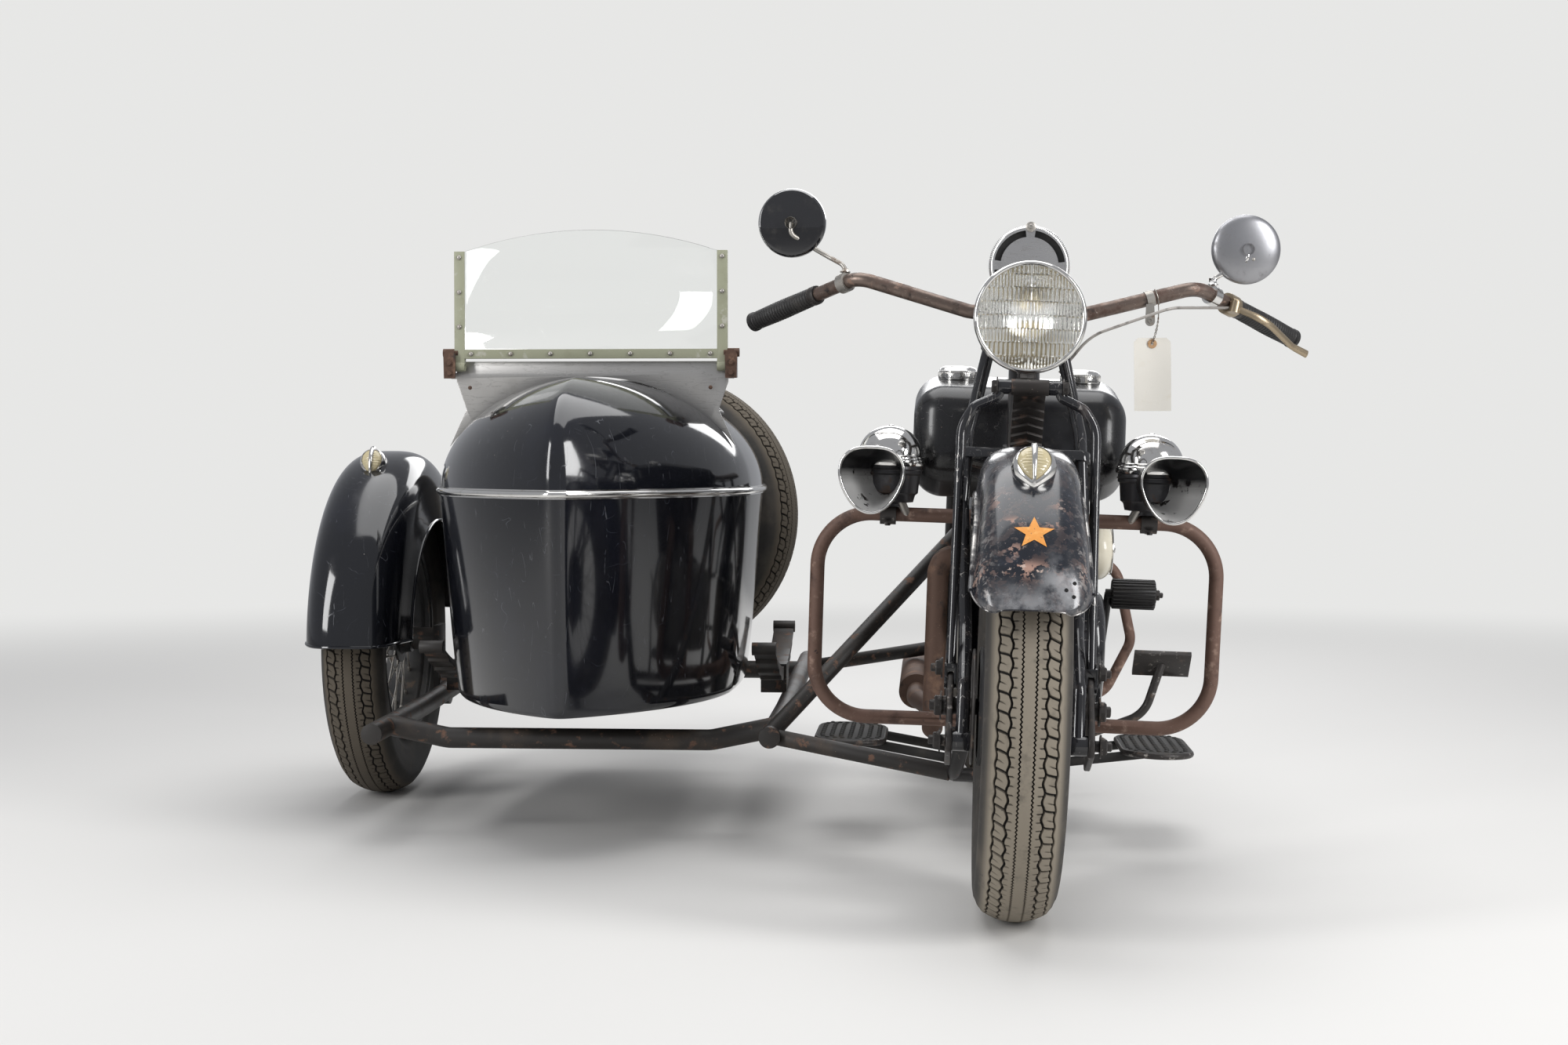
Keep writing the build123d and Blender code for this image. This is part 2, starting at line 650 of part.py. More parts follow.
with BuildPart() as saddle_springs:
    with Locations((0, 1190, saddle_z - 57)):
        Box(180, 300, 7)
    for side in (-1, 1):
        add_rod((side * 78, 1290, 670), (side * 78, 1290, saddle_z - 58), 18)
        add_rod((side * 78, 1290, 676), (side * 106, 1250, 606), 8)
    add_rod((0, 1060, 735), (0, 1060, saddle_z - 58), 13)
keep("saddle_springs", saddle_springs.part)

# Rear fender with its stays, tail lamp and number plate
keep("rear_fender", make_fender(rear_axle, fender_radius + fender_crown_rise / 2, fender_half_width,
                                fender_crown_rise, fender_skirt + 24, -12, 168))
tail_angle = radians(38)
tail_foot = (0, wheelbase + fender_radius * cos(tail_angle), tyre_radius + fender_radius * sin(tail_angle))
with BuildPart() as tail_lamp:
    add_rod((0, tail_foot[1] + 2, tail_foot[2]), (0, tail_foot[1] + 66, tail_foot[2] + 8), 26)
    cut_crown(rear_axle, fender_radius + fender_crown_rise / 2, fender_half_width, fender_crown_rise)
keep("tail_lamp", tail_lamp.part)
plate_y = tail_foot[1] + 52
with BuildPart() as number_plate:
    with Locations((0, plate_y, tail_foot[2] + 96)):
        Box(190, 4, 120)
        with Locations((-80, 0, 44), (80, 0, 44)):
            Cylinder(3.2, 10, rotation=(90, 0, 0), mode=Mode.SUBTRACT)
    add_rod((0, plate_y, tail_foot[2] + 60), (0, tail_foot[1] - 16, tail_foot[2] + 40), 7)
    cut_crown(rear_axle, fender_radius + fender_crown_rise / 2, fender_half_width, fender_crown_rise)
keep("number_plate", number_plate.part)

# Final drive chain as one band round both sprockets
with BuildPart() as chain:
    with BuildSketch(Plane.YZ.offset(chain_x - chain_width / 2)):
        with BuildSketch(mode=Mode.PRIVATE) as wraps:
            with Locations((gearbox_y + 40, gearbox_z)):
                Circle(chain_front_radius)
            with Locations((wheelbase, tyre_radius)):
                Circle(chain_rear_radius)
        make_hull(wraps.sketch.edges())
        offset(amount=-chain_height, mode=Mode.SUBTRACT)
    extrude(amount=chain_width)
keep("chain", chain.part)

# Crash bars
with BuildPart() as front_crash_bar:
    for side in (-1, 1):
        add_tube([(side * 0, guard_y, guard_top_z), (side * guard_half_width, guard_y, guard_top_z),
                  (side * guard_half_width, guard_y + 30, guard_bottom_z), (side * 78, guard_y + 44, guard_bottom_z)],
                 [95, 95], guard_radius)
    with Locations((0, 366, guard_top_z)):
        Box(110, 34, 36)
keep("front_crash_bar", front_crash_bar.part)

with BuildPart() as rear_crash_bar:
    add_tube([(114, 1330, 545), (250, 1330, 500), (290, 1345, 340), (235, 1350, 222), (108, 1330, 205)],
             [60, 50, 50], 11)
keep("rear_crash_bar", rear_crash_bar.part)

# Sirens on the crash bar's top tube
siren_flange_z = 722
siren_y = guard_y
mouth_x = 256
mouth_y = 262
mouth_z = 686
mouth_half_width = 52


def mouth_outline(grow):
    """Rounded shield, arched above and drawn in to a blunt tip below, drawn in the open sketch."""
    shoulder = (mouth_half_width + grow, 20)
    flank = (mouth_half_width - 12 + grow, -20)
    tip = (9, -54 - grow)
    ThreePointArc((-shoulder[0], shoulder[1]), (0, 48 + grow), shoulder)
    ThreePointArc(shoulder, flank, tip)
    Line(tip, (-tip[0], tip[1]))
    ThreePointArc((-tip[0], tip[1]), (-flank[0], flank[1]), (-shoulder[0], shoulder[1]))


def make_siren(side):
    """Domed siren on one side: flange, motor housing and a flared scoop with an open mouth."""
    with BuildPart() as siren:
        with Locations((side * siren_x, siren_y, siren_flange_z)):
            Sphere(siren_radius - 4)
            Cylinder(siren_radius, 12)
            Box(160, 160, 80, align=(Align.CENTER, Align.CENTER, Align.MAX), mode=Mode.SUBTRACT)
            Cylinder(siren_radius, 10, align=(Align.CENTER, Align.CENTER, Align.MAX))
        with BuildSketch(Plane(origin=(side * siren_x, siren_y - 30, siren_flange_z - 30), x_dir=(1, 0, 0),
                               z_dir=(0, -1, 0))) as root:
            RectangleRounded(60, 44, 14)
        with BuildSketch(Plane(origin=(side * mouth_x, mouth_y, mouth_z), x_dir=(1, 0, 0),
                               z_dir=(0, -1, 0))) as mouth:
            with BuildLine():
                mouth_outline(4)
            make_face()
            fillet(mouth.vertices(), 7.5)
        loft([root.sketch, mouth.sketch])
        with BuildSketch(Plane(origin=(side * siren_x, siren_y - 46, siren_flange_z - 32), x_dir=(1, 0, 0),
                               z_dir=(0, -1, 0))) as throat:
            RectangleRounded(44, 28, 10)
        with BuildSketch(Plane(origin=(side * mouth_x, mouth_y - 1, mouth_z), x_dir=(1, 0, 0),
                               z_dir=(0, -1, 0))) as inner:
            with BuildLine():
                mouth_outline(0)
            make_face()
            fillet(inner.vertices(), 7)
        loft([throat.sketch, inner.sketch], mode=Mode.SUBTRACT)
        add_rod((side * siren_x, siren_y + 4, siren_flange_z - 10),
                (side * siren_x, siren_y + 4, guard_top_z - 4), 34)
        add(front_crash_bar.part, mode=Mode.SUBTRACT)
    return siren.part


with BuildPart() as sirens:
    for side in (-1, 1):
        add(make_siren(side))
keep("sirens", sirens.part)

# Footboards, pedals and kick starter
board_z = 174
board_y = 805
pedal_y = 628
with BuildPart() as footboards:
    for side in (-1, 1):
        with BuildSketch(Plane.XY.offset(board_z)):
            with Locations((side * 292, board_y)):
                SlotOverall(290, 130, rotation=90)
        extrude(amount=12)
        for y in (board_y - 80, board_y + 80):
            add_rod((side * cradle_half_width, y, cradle_z), (side * 272, y, board_z + 2), 9)
keep("footboards", footboards.part)

with BuildPart() as foot_controls:
    add_rod((cradle_half_width, pedal_y, cradle_z), (cradle_half_width + 6, pedal_y, 208), 10)
    add_tube([(cradle_half_width + 4, pedal_y, 198), (256, pedal_y, 262), (284, pedal_y, 358)], [60], 8)
    with Locations(Location((284, pedal_y, 358), (-45, 0, 0))):
        Box(104, 62, 9)
keep("foot_controls", foot_controls.part)

with BuildPart() as kick_starter:
    add_rod((182, gearbox_y, gearbox_z), (200, gearbox_y, gearbox_z), 18)
    add_rod((194, gearbox_y, gearbox_z), (200, 870, 470), 8)
    add_rod((194, 870, 470), (296, 870, 470), 9)
    add_rod((206, 870, 470), (290, 870, 470), 27)
keep("kick_starter", kick_starter.part)

# Sidecar hull and deck: plan outlines at several heights


def plan_outline(half_width, nose_y, tail_y, tail_half):
    """Boat-shaped outline: two bowed nose sides meeting in a crease, long sides and a flat tail."""
    bow = (body_x + half_width * 0.655, nose_y + (body_widest_y - nose_y) * 0.415)
    stern = (body_x - half_width * 0.655, bow[1])
    widest = max(body_widest_y, nose_y + 160)
    ThreePointArc((body_x, nose_y), bow, (body_x + half_width, widest))
    ThreePointArc((body_x + half_width, widest), (body_x + half_width * 0.97, (widest + tail_y) / 2),
                  (body_x + tail_half, tail_y))
    Line((body_x + tail_half, tail_y), (body_x - tail_half, tail_y))
    ThreePointArc((body_x - tail_half, tail_y), (body_x - half_width * 0.97, (widest + tail_y) / 2),
                  (body_x - half_width, widest))
    ThreePointArc((body_x - half_width, widest), stern, (body_x, nose_y))


def add_slices(rows, mode):
    """Lofts boat-shaped outlines, given as (height, half width, nose, tail, tail half width)."""
    faces = []
    for height, half_width, nose_y, tail_y, tail_half in rows:
        with BuildSketch(Plane.XY.offset(height)) as slice_face:
            with BuildLine():
                plan_outline(half_width, nose_y, tail_y, tail_half)
            make_face()
        faces.append(slice_face.sketch)
    loft(faces, mode=mode)


hull_rows = [(hull_bottom_z, 273, 378, 1650, 190), (belt_z, body_half_width, body_nose_y, body_tail_y, 215)]
with BuildPart() as sidecar_hull:
    add_slices(hull_rows, Mode.ADD)
    fillet(sidecar_hull.faces().sort_by(Axis.Z)[0].edges(), 18)
    add_slices([(hull_bottom_z + body_wall, 273 - body_wall + 1, 378 + 16, 1650 - body_wall, 190 - body_wall),
                (belt_z + 1, body_half_width - body_wall, body_nose_y + 15, body_tail_y - body_wall, 215 - body_wall)],
               Mode.SUBTRACT)
    with Locations((body_x, 1195, hull_bottom_z + body_wall - 2)):
        Box(450, 350, 101, align=(Align.CENTER, Align.CENTER, Align.MIN))
keep("sidecar_hull", sidecar_hull.part, False)

deck_rows = [(belt_z, body_half_width, body_nose_y, body_tail_y, 215), (758, 282, 352, 1676, 196),
             (828, 202, 398, 1640, 140), (868, 118, 520, 1560, 84), (crown_z, 56, 660, 1480, 40)]
deck_cavity = [(height - (0 if index == 0 else body_wall * index / 4) - (1 if index == 0 else 0), half - body_wall,
                nose + 15, tail - body_wall, tail_half - body_wall)
               for index, (height, half, nose, tail, tail_half) in enumerate(deck_rows)]
with BuildPart() as deck_solid:
    add_slices(deck_rows, Mode.ADD)
with BuildPart() as sidecar_deck:
    add(deck_solid.part)
    add_slices(deck_cavity, Mode.SUBTRACT)
    with BuildSketch(Plane.XY.offset(belt_z + 40)):
        with Locations((body_x, (cockpit_front_y + cockpit_rear_y) / 2)):
            RectangleRounded(2 * cockpit_half_width, cockpit_rear_y - cockpit_front_y, 120)
    extrude(amount=300, mode=Mode.SUBTRACT)
keep("sidecar_deck", sidecar_deck.part, False)

with BuildPart() as belt_moulding:
    with BuildSketch(Plane.XY.offset(belt_z - 9)):
        with BuildLine():
            plan_outline(body_half_width + 8, body_nose_y - 10, body_tail_y + 8, 223)
        make_face()
        with BuildLine():
            plan_outline(body_half_width + 0.2, body_nose_y - 0.4, body_tail_y + 0.2, 215.2)
        make_face(mode=Mode.SUBTRACT)
    extrude(amount=18)
    add(deck_solid.part, mode=Mode.SUBTRACT)
keep("belt_moulding", belt_moulding.part, False)

# Sidecar seat: cushion and backrest
seat_y = 1195
seat_box_top = 371
with BuildPart() as sidecar_cushion:
    with Locations((body_x, seat_y, seat_box_top + 1)):
        Box(460, 370, 160, align=(Align.CENTER, Align.CENTER, Align.MIN))
    fillet(sidecar_cushion.edges(), 28)
keep("sidecar_cushion", sidecar_cushion.part, False)
with BuildPart() as sidecar_backrest:
    with BuildSketch(Plane(origin=(body_x, 1444, 590), x_dir=(1, 0, 0), z_dir=(0, -1, 0.12))):
        RectangleRounded(400, 300, 60)
    extrude(amount=44, both=True)
    fillet(sidecar_backrest.faces().filter_by(GeomType.PLANE).edges(), 18)
keep("sidecar_backrest", sidecar_backrest.part, False)

# Windscreen: fixed apron plate, hinged frame and its glass
apron_top_z = 918
glass_y = screen_y - 18
post_boss = 10
apron_points = [(-282, 752), (-249, 824), (-268, 878), (-268, apron_top_z), (268, apron_top_z), (268, 878),
                (249, 824), (282, 752)]
with BuildPart() as windscreen_apron:
    with BuildSketch(Plane(origin=(body_x, screen_y, 0), x_dir=(1, 0, 0), z_dir=(0, -1, 0))):
        with BuildLine():
            Polyline(*apron_points)
            ThreePointArc(apron_points[-1], (0, crown_z + 4), apron_points[0])
        make_face()
    extrude(amount=4)
    for side in (-1, 1):
        with Locations((body_x + side * 279, screen_y - 10, screen_pivot_z)):
            Box(12, 44, 44)
        with Locations((body_x + side * 268, screen_y - 2, screen_pivot_z - 18)):
            Box(22, 4, 12)
        near = body_x + side * (screen_half_width - 8)
        add_rod((near, glass_y, screen_pivot_z), (body_x + side * 282, glass_y, screen_pivot_z), 5)
    add(deck_solid.part, mode=Mode.SUBTRACT)
keep("windscreen_apron", windscreen_apron.part, False)

screen_top_z = 1132
arch_top_z = 1173
with BuildPart() as windscreen_frame:
    for side in (-1, 1):
        with Locations((body_x + side * screen_half_width, glass_y, (screen_pivot_z + screen_top_z) / 2)):
            Box(20, 14, screen_top_z - screen_pivot_z)
        add_rod((body_x + side * (screen_half_width - 10), glass_y, screen_pivot_z),
                (body_x + side * (screen_half_width + 10), glass_y, screen_pivot_z), post_boss)
        cut_rod((body_x + side * (screen_half_width - 12), glass_y, screen_pivot_z),
                (body_x + side * (screen_half_width + 12), glass_y, screen_pivot_z), 5 + running_gap)
    with Locations((body_x, glass_y, screen_pivot_z + 24)):
        Box(2 * screen_half_width - 20, 14, 18)
keep("windscreen_frame", windscreen_frame.part, False)

with BuildPart() as windscreen_glass:
    with BuildSketch(Plane(origin=(body_x, glass_y + 2.5, 0), x_dir=(1, 0, 0), z_dir=(0, -1, 0))):
        low = screen_pivot_z + 33
        edge = screen_half_width - 10
        with BuildLine():
            Polyline((-edge, screen_top_z), (-edge, low), (edge, low), (edge, screen_top_z))
            ThreePointArc((edge, screen_top_z), (0, arch_top_z), (-edge, screen_top_z))
        make_face()
    extrude(amount=5)
keep("windscreen_glass", windscreen_glass.part, False)

# Sidecar chassis, springs and struts
with BuildPart() as sidecar_chassis:
    for x in (inner_rail_x, outer_rail_x):
        add_tube([(x, 570, rail_z - 5), (x, 1000, rail_z), (x, 1780, rail_z + 30)], [400], rail_radius)
    add_tube([(outer_rail_x, 690, rail_z), (outer_rail_x + 120, 690, rail_z - 25), (inner_rail_x - 120, 690, rail_z - 25),
              (inner_rail_x, 690, rail_z)], [80, 80], rail_radius)
    add_rod((outer_rail_x, 1600, rail_z + 22), (inner_rail_x, 1600, rail_z + 22), rail_radius)
    with Locations((outer_rail_x - 24, side_wheel_y, 285)):
        Box(12, 70, 160)
    add_rod((outer_rail_x - 20, side_wheel_y, rail_z + 6), (outer_rail_x, side_wheel_y, rail_z + 6), 30)
    add_rod((side_wheel_x - 62, side_wheel_y, tyre_radius), (outer_rail_x - 24, side_wheel_y, tyre_radius), side_axle_radius)
    add_rod((side_wheel_x + 59, side_wheel_y, tyre_radius), (outer_rail_x - 24, side_wheel_y, tyre_radius), 24)
    add_rod((side_wheel_x - 80, side_wheel_y, tyre_radius), (side_wheel_x - 59, side_wheel_y, tyre_radius), 20)
keep("sidecar_chassis", sidecar_chassis.part, False)

# Leaf springs along both rails, with the brackets that carry the body on their ends
spring_y = 1150
spring_half = 290
spring_leaves = 4
with BuildPart() as sidecar_springs:
    for x in (inner_rail_x - 32, outer_rail_x + 50):
        for index in range(spring_leaves):
            half = spring_half * (1 - 0.2 * index)
            drop = 62 * (1 - 0.2 * index) ** 2
            low = 262 + 7 * (spring_leaves - 1 - index)
            with BuildSketch(Plane.YZ.offset(x - 22)):
                with BuildLine():
                    ThreePointArc((spring_y - half, low + drop), (spring_y, low), (spring_y + half, low + drop))
                    Line((spring_y + half, low + drop), (spring_y + half, low + drop + 7))
                    ThreePointArc((spring_y + half, low + drop + 7), (spring_y, low + 7), (spring_y - half, low + drop + 7))
                    Line((spring_y - half, low + drop + 7), (spring_y - half, low + drop))
                make_face()
            extrude(amount=44)
        with Locations((x, spring_y, 266)):
            Box(54, 70, 60)
        for end in (-1, 1):
            add_rod((x - 24, spring_y + end * spring_half, 350), (x + 24, spring_y + end * spring_half, 350), 13)
keep("sidecar_springs", sidecar_springs.part, False)

# Three struts from the sidecar's inner rail to the motorcycle's frame
with BuildPart() as sidecar_struts:
    add_rod((inner_rail_x, 600, rail_z - 5), (-96, 520, 156), 15)
    add_rod((inner_rail_x, 600, rail_z), (-16, 1062, 640), 16)
    add_rod((inner_rail_x, 1640, rail_z + 24), (-112, 1500, 302), 15)
keep("sidecar_struts", sidecar_struts.part, False)

# Sidecar fender and lamp
side_axle = (side_wheel_x, side_wheel_y, tyre_radius)
wing_radius = 409
wing_x = -1308
keep("sidecar_fender", make_fender(side_axle, wing_radius, 98, 34, 120, 6, 178, wing_x), False)
wing_lamp = Plane(origin=(wing_x, side_wheel_y - 150, tyre_radius + wing_radius - 56), x_dir=(1, 0, 0),
                  z_dir=(0, -1, 0.18))
wing_crown = (side_axle, wing_radius, 98, 34, wing_x)
keep("sidecar_fender_lamp", make_shield_lamp(wing_lamp, 56, 72, 32, wing_crown), False)

keep("sidecar_tyre", make_tyre(side_axle), False)
keep("sidecar_wheel", make_wheel(side_axle, 56, side_axle_radius + running_gap, 1, 0, 0, 0), False)

# Spare wheel on a post behind the body
spare_place = Location((spare_x, spare_y, spare_z), (0, 0, 90 - spare_yaw_deg))
with BuildPart() as spare_tyre:
    add(make_tyre((0, 0, 0)).moved(spare_place))
keep("spare_tyre", spare_tyre.part, False)
with BuildPart() as spare_wheel:
    add(make_wheel((0, 0, 0), 56, 12 + running_gap, 1, 0, 0, 0).moved(spare_place))
keep("spare_wheel", spare_wheel.part, False)
carrier_reach = tyre_width / 2 + 23
spare_turn = radians(90 - spare_yaw_deg)
spare_axis = Vector(cos(spare_turn), sin(spare_turn), 0)
spare_centre = Vector(spare_x, spare_y, spare_z)
post = spare_centre - spare_axis * carrier_reach
with BuildPart() as spare_carrier:
    add_rod(post, spare_centre + spare_axis * 70, 12)
    add_rod(post, (post.X, post.Y, 252), 16)
    add_rod((post.X, post.Y, 256), (post.X, 1604, 240), 15)
keep("spare_carrier", spare_carrier.part, False)

# Place every node, lean the motorcycle, and stand the whole on the middle of its footprint
lean = Location((0, 0, 0), (0, lean_deg, 0))
placed = {name: part.moved(lean) if leaning else part for name, (part, leaning) in nodes.items()}

# Pieces whose ends are cut to the surface of what they are fixed to
cut_to_fit = (("front_crash_bar", ("bike_frame",)), ("rear_crash_bar", ("bike_frame",)),
              ("saddle_springs", ("bike_frame",)), ("footboards", ("bike_frame",)),
              ("foot_controls", ("bike_frame",)), ("sidecar_springs", ("sidecar_chassis",)),
              ("sidecar_struts", ("bike_frame", "sidecar_chassis")), ("kick_starter", ("primary_cover",)),
              ("spare_carrier", ("sidecar_chassis",)), ("air_cleaner", ("carburettor",)))
for name, neighbours in cut_to_fit:
    with BuildPart() as fitted:
        add(placed[name])
        for neighbour in neighbours:
            add(placed[neighbour], mode=Mode.SUBTRACT)
    placed[name] = fitted.part

boxes = [piece.bounding_box() for piece in placed.values()]
plan_centre = (min(box.min.X for box in boxes) / 2 + max(box.max.X for box in boxes) / 2,
               min(box.min.Y for box in boxes) / 2 + max(box.max.Y for box in boxes) / 2)
lowest = min(box.min.Z for box in boxes)
print("plan centre", plan_centre, "lowest point", lowest)
home = Location((-plan_centre[0], -plan_centre[1], -lowest))

os.makedirs("parts", exist_ok=True)
for name, piece in placed.items():
    moved = piece.moved(home)
    moved.label = name
    export_step(moved, f"parts/{name}.step")
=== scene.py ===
import functools
import json
from math import atan2, cos, pi, radians, sin, sqrt

import bmesh
import bpy
import numpy as np
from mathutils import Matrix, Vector

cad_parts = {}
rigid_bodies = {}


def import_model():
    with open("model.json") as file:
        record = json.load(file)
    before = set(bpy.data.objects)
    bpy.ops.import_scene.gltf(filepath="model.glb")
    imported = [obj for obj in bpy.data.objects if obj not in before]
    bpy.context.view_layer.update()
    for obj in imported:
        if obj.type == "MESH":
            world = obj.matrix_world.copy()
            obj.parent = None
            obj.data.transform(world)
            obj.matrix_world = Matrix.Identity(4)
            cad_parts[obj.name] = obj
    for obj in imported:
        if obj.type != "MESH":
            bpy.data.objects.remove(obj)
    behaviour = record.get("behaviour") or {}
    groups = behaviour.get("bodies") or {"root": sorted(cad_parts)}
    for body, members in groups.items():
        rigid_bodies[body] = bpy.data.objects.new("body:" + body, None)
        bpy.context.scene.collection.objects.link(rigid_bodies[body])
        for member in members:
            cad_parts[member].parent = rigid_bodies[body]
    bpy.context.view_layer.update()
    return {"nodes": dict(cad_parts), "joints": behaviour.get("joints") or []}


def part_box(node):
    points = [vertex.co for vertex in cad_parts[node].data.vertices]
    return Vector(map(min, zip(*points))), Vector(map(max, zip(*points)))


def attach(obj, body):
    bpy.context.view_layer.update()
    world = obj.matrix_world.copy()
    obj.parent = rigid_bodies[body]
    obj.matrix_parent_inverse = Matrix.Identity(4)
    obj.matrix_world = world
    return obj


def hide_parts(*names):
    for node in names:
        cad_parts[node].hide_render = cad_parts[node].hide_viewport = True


# Frame
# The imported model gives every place. The motorcycle leans a little on its own stance, so its upright
# drawing coordinates (x to the rider's left, y back, z up, from the ground under the front axle) are
# turned by the front axle's direction. The sidecar stands level in the same coordinates. Places are in
# metres. The profiles, radii, bolts, walls and bevels given to the functions below are in millimetres.
mm = 0.001
for leftover in list(bpy.data.objects):
    bpy.data.objects.remove(leftover)
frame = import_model()
spin = next(joint for joint in frame["joints"] if joint["name"] == "front_wheel_spin")
leftward = np.array(spin["axis"], float)
leftward /= np.linalg.norm(leftward)
backward = np.array([0.0, 1.0, 0.0])
upward = np.cross(leftward, backward)
tyre_radius = 0.334
wheelbase = 1.572
ground_point = np.array(spin["pos_m"], float) - tyre_radius * upward


def leaning(points):
    """Points drawn on the upright motorcycle, turned to its lean: x, y and z times its three directions."""
    return np.asarray(points, float) @ np.array([leftward, backward, upward]) + ground_point


def level(points):
    """Points of the sidecar, drawn from the same ground point but not leaned."""
    return np.asarray(points, float) + ground_point


def show(made):
    bpy.context.scene.collection.objects.link(made)
    return made


# Camera, light and floor
# The camera stands where the photograph was taken from: a little right of the front wheel, at saddle height.
# A pale floor and world, two tall soft boxes, an overhead one and one behind light the object evenly.
camera_data = bpy.data.cameras.new("camera")
camera_data.lens = 51.3
camera_data.sensor_width = 36
camera = show(bpy.data.objects.new("camera", camera_data))
camera.location = level((-0.118, -3.550, 0.740))
camera.rotation_euler = (radians(88.2), 0, radians(3.95))
bpy.context.scene.camera = camera
bpy.context.scene.view_settings.view_transform = "Standard"
for name, place, aim, width, height, watts in (("left_box", (-3.4, -3.2, 2.2), (-0.2, 0, 0.5), 1.1, 2.6, 95),
                                               ("right_box", (3.6, -2.6, 2.4), (0.3, 0, 0.6), 1.2, 2.6, 120),
                                               ("top_box", (0, 0.4, 3.8), (0, 0.2, 0), 3.4, 3.4, 95),
                                               ("rear_box", (0.6, 4.6, 2.6), (0, 0.5, 0.5), 3.0, 1.6, 60)):
    data = bpy.data.lights.new(name, "AREA")
    data.shape = "RECTANGLE"
    data.size = width
    data.size_y = height
    data.energy = watts
    lamp = show(bpy.data.objects.new(name, data))
    lamp.location = place
    lamp.rotation_euler = (Vector(aim) - Vector(place)).to_track_quat("-Z", "Y").to_euler()


def add_node(tree, kind, inputs=None, **settings):
    """Adds a node, sets its properties, and gives each named input a value or another node's socket."""
    node = tree.nodes.new(kind)
    for name, value in settings.items():
        setattr(node, name, value)
    for name, value in (inputs or {}).items():
        if isinstance(value, bpy.types.NodeSocket):
            tree.links.new(value, node.inputs[name])
        else:
            node.inputs[name].default_value = value
    return node


def calc(tree, operation, *values):
    """The result of a math node on one to three numbers or sockets."""
    return add_node(tree, "ShaderNodeMath", dict(enumerate(values)), operation=operation).outputs[0]


def vector_calc(tree, operation, *values):
    """The same for vectors."""
    return add_node(tree, "ShaderNodeVectorMath", dict(enumerate(values)), operation=operation)


def ramp(tree, value, low, high, kind="LINEAR"):
    """A number carried from 0 at low to 1 at high."""
    return add_node(tree, "ShaderNodeMapRange", {"Value": value, "From Min": low, "From Max": high},
                    interpolation_type=kind).outputs["Result"]


def seen_directly(tree):
    """1 where a ray comes from the camera, straight or through glass."""
    path = add_node(tree, "ShaderNodeLightPath").outputs
    return calc(tree, "MAXIMUM", path["Is Camera Ray"], path["Is Transmission Ray"])


backdrop_tone = (0.80, 0.80, 0.79, 1)
world = bpy.data.worlds.new("studio")
world.use_nodes = True
bpy.context.scene.world = world
tree = world.node_tree
tree.nodes.clear()
ambient, backdrop = (add_node(tree, "ShaderNodeBackground", {"Color": tone, "Strength": strength}).outputs[0]
                     for tone, strength in (((0.93, 0.95, 1.0, 1), 0.42), (backdrop_tone, 1.0)))
sky = add_node(tree, "ShaderNodeMixShader", {0: seen_directly(tree), 1: ambient, 2: backdrop})
add_node(tree, "ShaderNodeOutputWorld", {"Surface": sky.outputs[0]})

floor_reach = 30.0
floor_mesh = bpy.data.meshes.new("floor")
floor_corners = [(-1, -1), (1, -1), (1, 1), (-1, 1)]
floor_mesh.from_pydata([(x * floor_reach, y * floor_reach, 0) for x, y in floor_corners], [], [(0, 1, 2, 3)])
show(bpy.data.objects.new("floor", floor_mesh))
floor_paint = bpy.data.materials.new("pale_floor")
floor_paint.use_nodes = True
floor_mesh.materials.append(floor_paint)
tree = floor_paint.node_tree
grain = add_node(tree, "ShaderNodeTexNoise", {"Scale": 3.0, "Detail": 6.0})
tone = add_node(tree, "ShaderNodeMix", {"Factor": grain.outputs["Fac"], "A": (0.66, 0.65, 0.63, 1),
                                        "B": (0.72, 0.71, 0.69, 1)}, data_type="RGBA")
shader = tree.nodes["Principled BSDF"]
shader.inputs["Roughness"].default_value = 0.7
tree.links.new(tone.outputs["Result"], shader.inputs["Base Color"])
flat = vector_calc(tree, "MULTIPLY", add_node(tree, "ShaderNodeNewGeometry").outputs["Position"], (1, 1, 0))
away = vector_calc(tree, "LENGTH", flat.outputs["Vector"]).outputs["Value"]
far = calc(tree, "MULTIPLY", ramp(tree, away, 2.4, 7.0, "SMOOTHSTEP"), seen_directly(tree))
glow = add_node(tree, "ShaderNodeEmission", {"Color": backdrop_tone})
faded = add_node(tree, "ShaderNodeMixShader", {0: far, 1: shader.outputs["BSDF"], 2: glow.outputs[0]})
tree.links.new(faded.outputs[0], tree.nodes["Material Output"].inputs["Surface"])


# Tyres
# Four alike moulded rubber tyres, 5.00-16 balloon pattern: a narrow centre rib between two fine zigzag
# grooves, a sliced rib on each side, and a row of blocks on each shoulder. Each is one closed grid.


# A finish, here and later, is a base colour under layers of dirt, wear and relief. Three marks mask the
# layers: uneven patches, small round chips and thin curved scratches.
def cloud(tree, place, scale, detail, **more):
    return add_node(tree, "ShaderNodeTexNoise", {"Vector": place, "Scale": scale, "Detail": detail,
                                                 **more}).outputs["Fac"]


def draw_patches(group, given, place):
    """Layered noise cut off at a level that Amount lowers, with a soft edge."""
    cut = calc(group, "MULTIPLY_ADD", given["Amount"], -0.5, 0.75)
    return ramp(group, cloud(group, place, given["Scale"], 9.0, Roughness=0.62), cut,
                calc(group, "ADD", cut, given["Softness"]), "SMOOTHSTEP")


def draw_specks(group, given, place):
    """Cells of a Voronoi pattern, kept where a slower noise is high."""
    cells = add_node(group, "ShaderNodeTexVoronoi", {"Vector": place, "Scale": given["Scale"]})
    slow = cloud(group, place, calc(group, "MULTIPLY", given["Scale"], 0.11), 3.0)
    size = calc(group, "MULTIPLY_ADD", slow, given["Amount"], -0.33)
    return ramp(group, cells.outputs["Distance"], size, calc(group, "SUBTRACT", size, given["Softness"]),
                "SMOOTHSTEP")


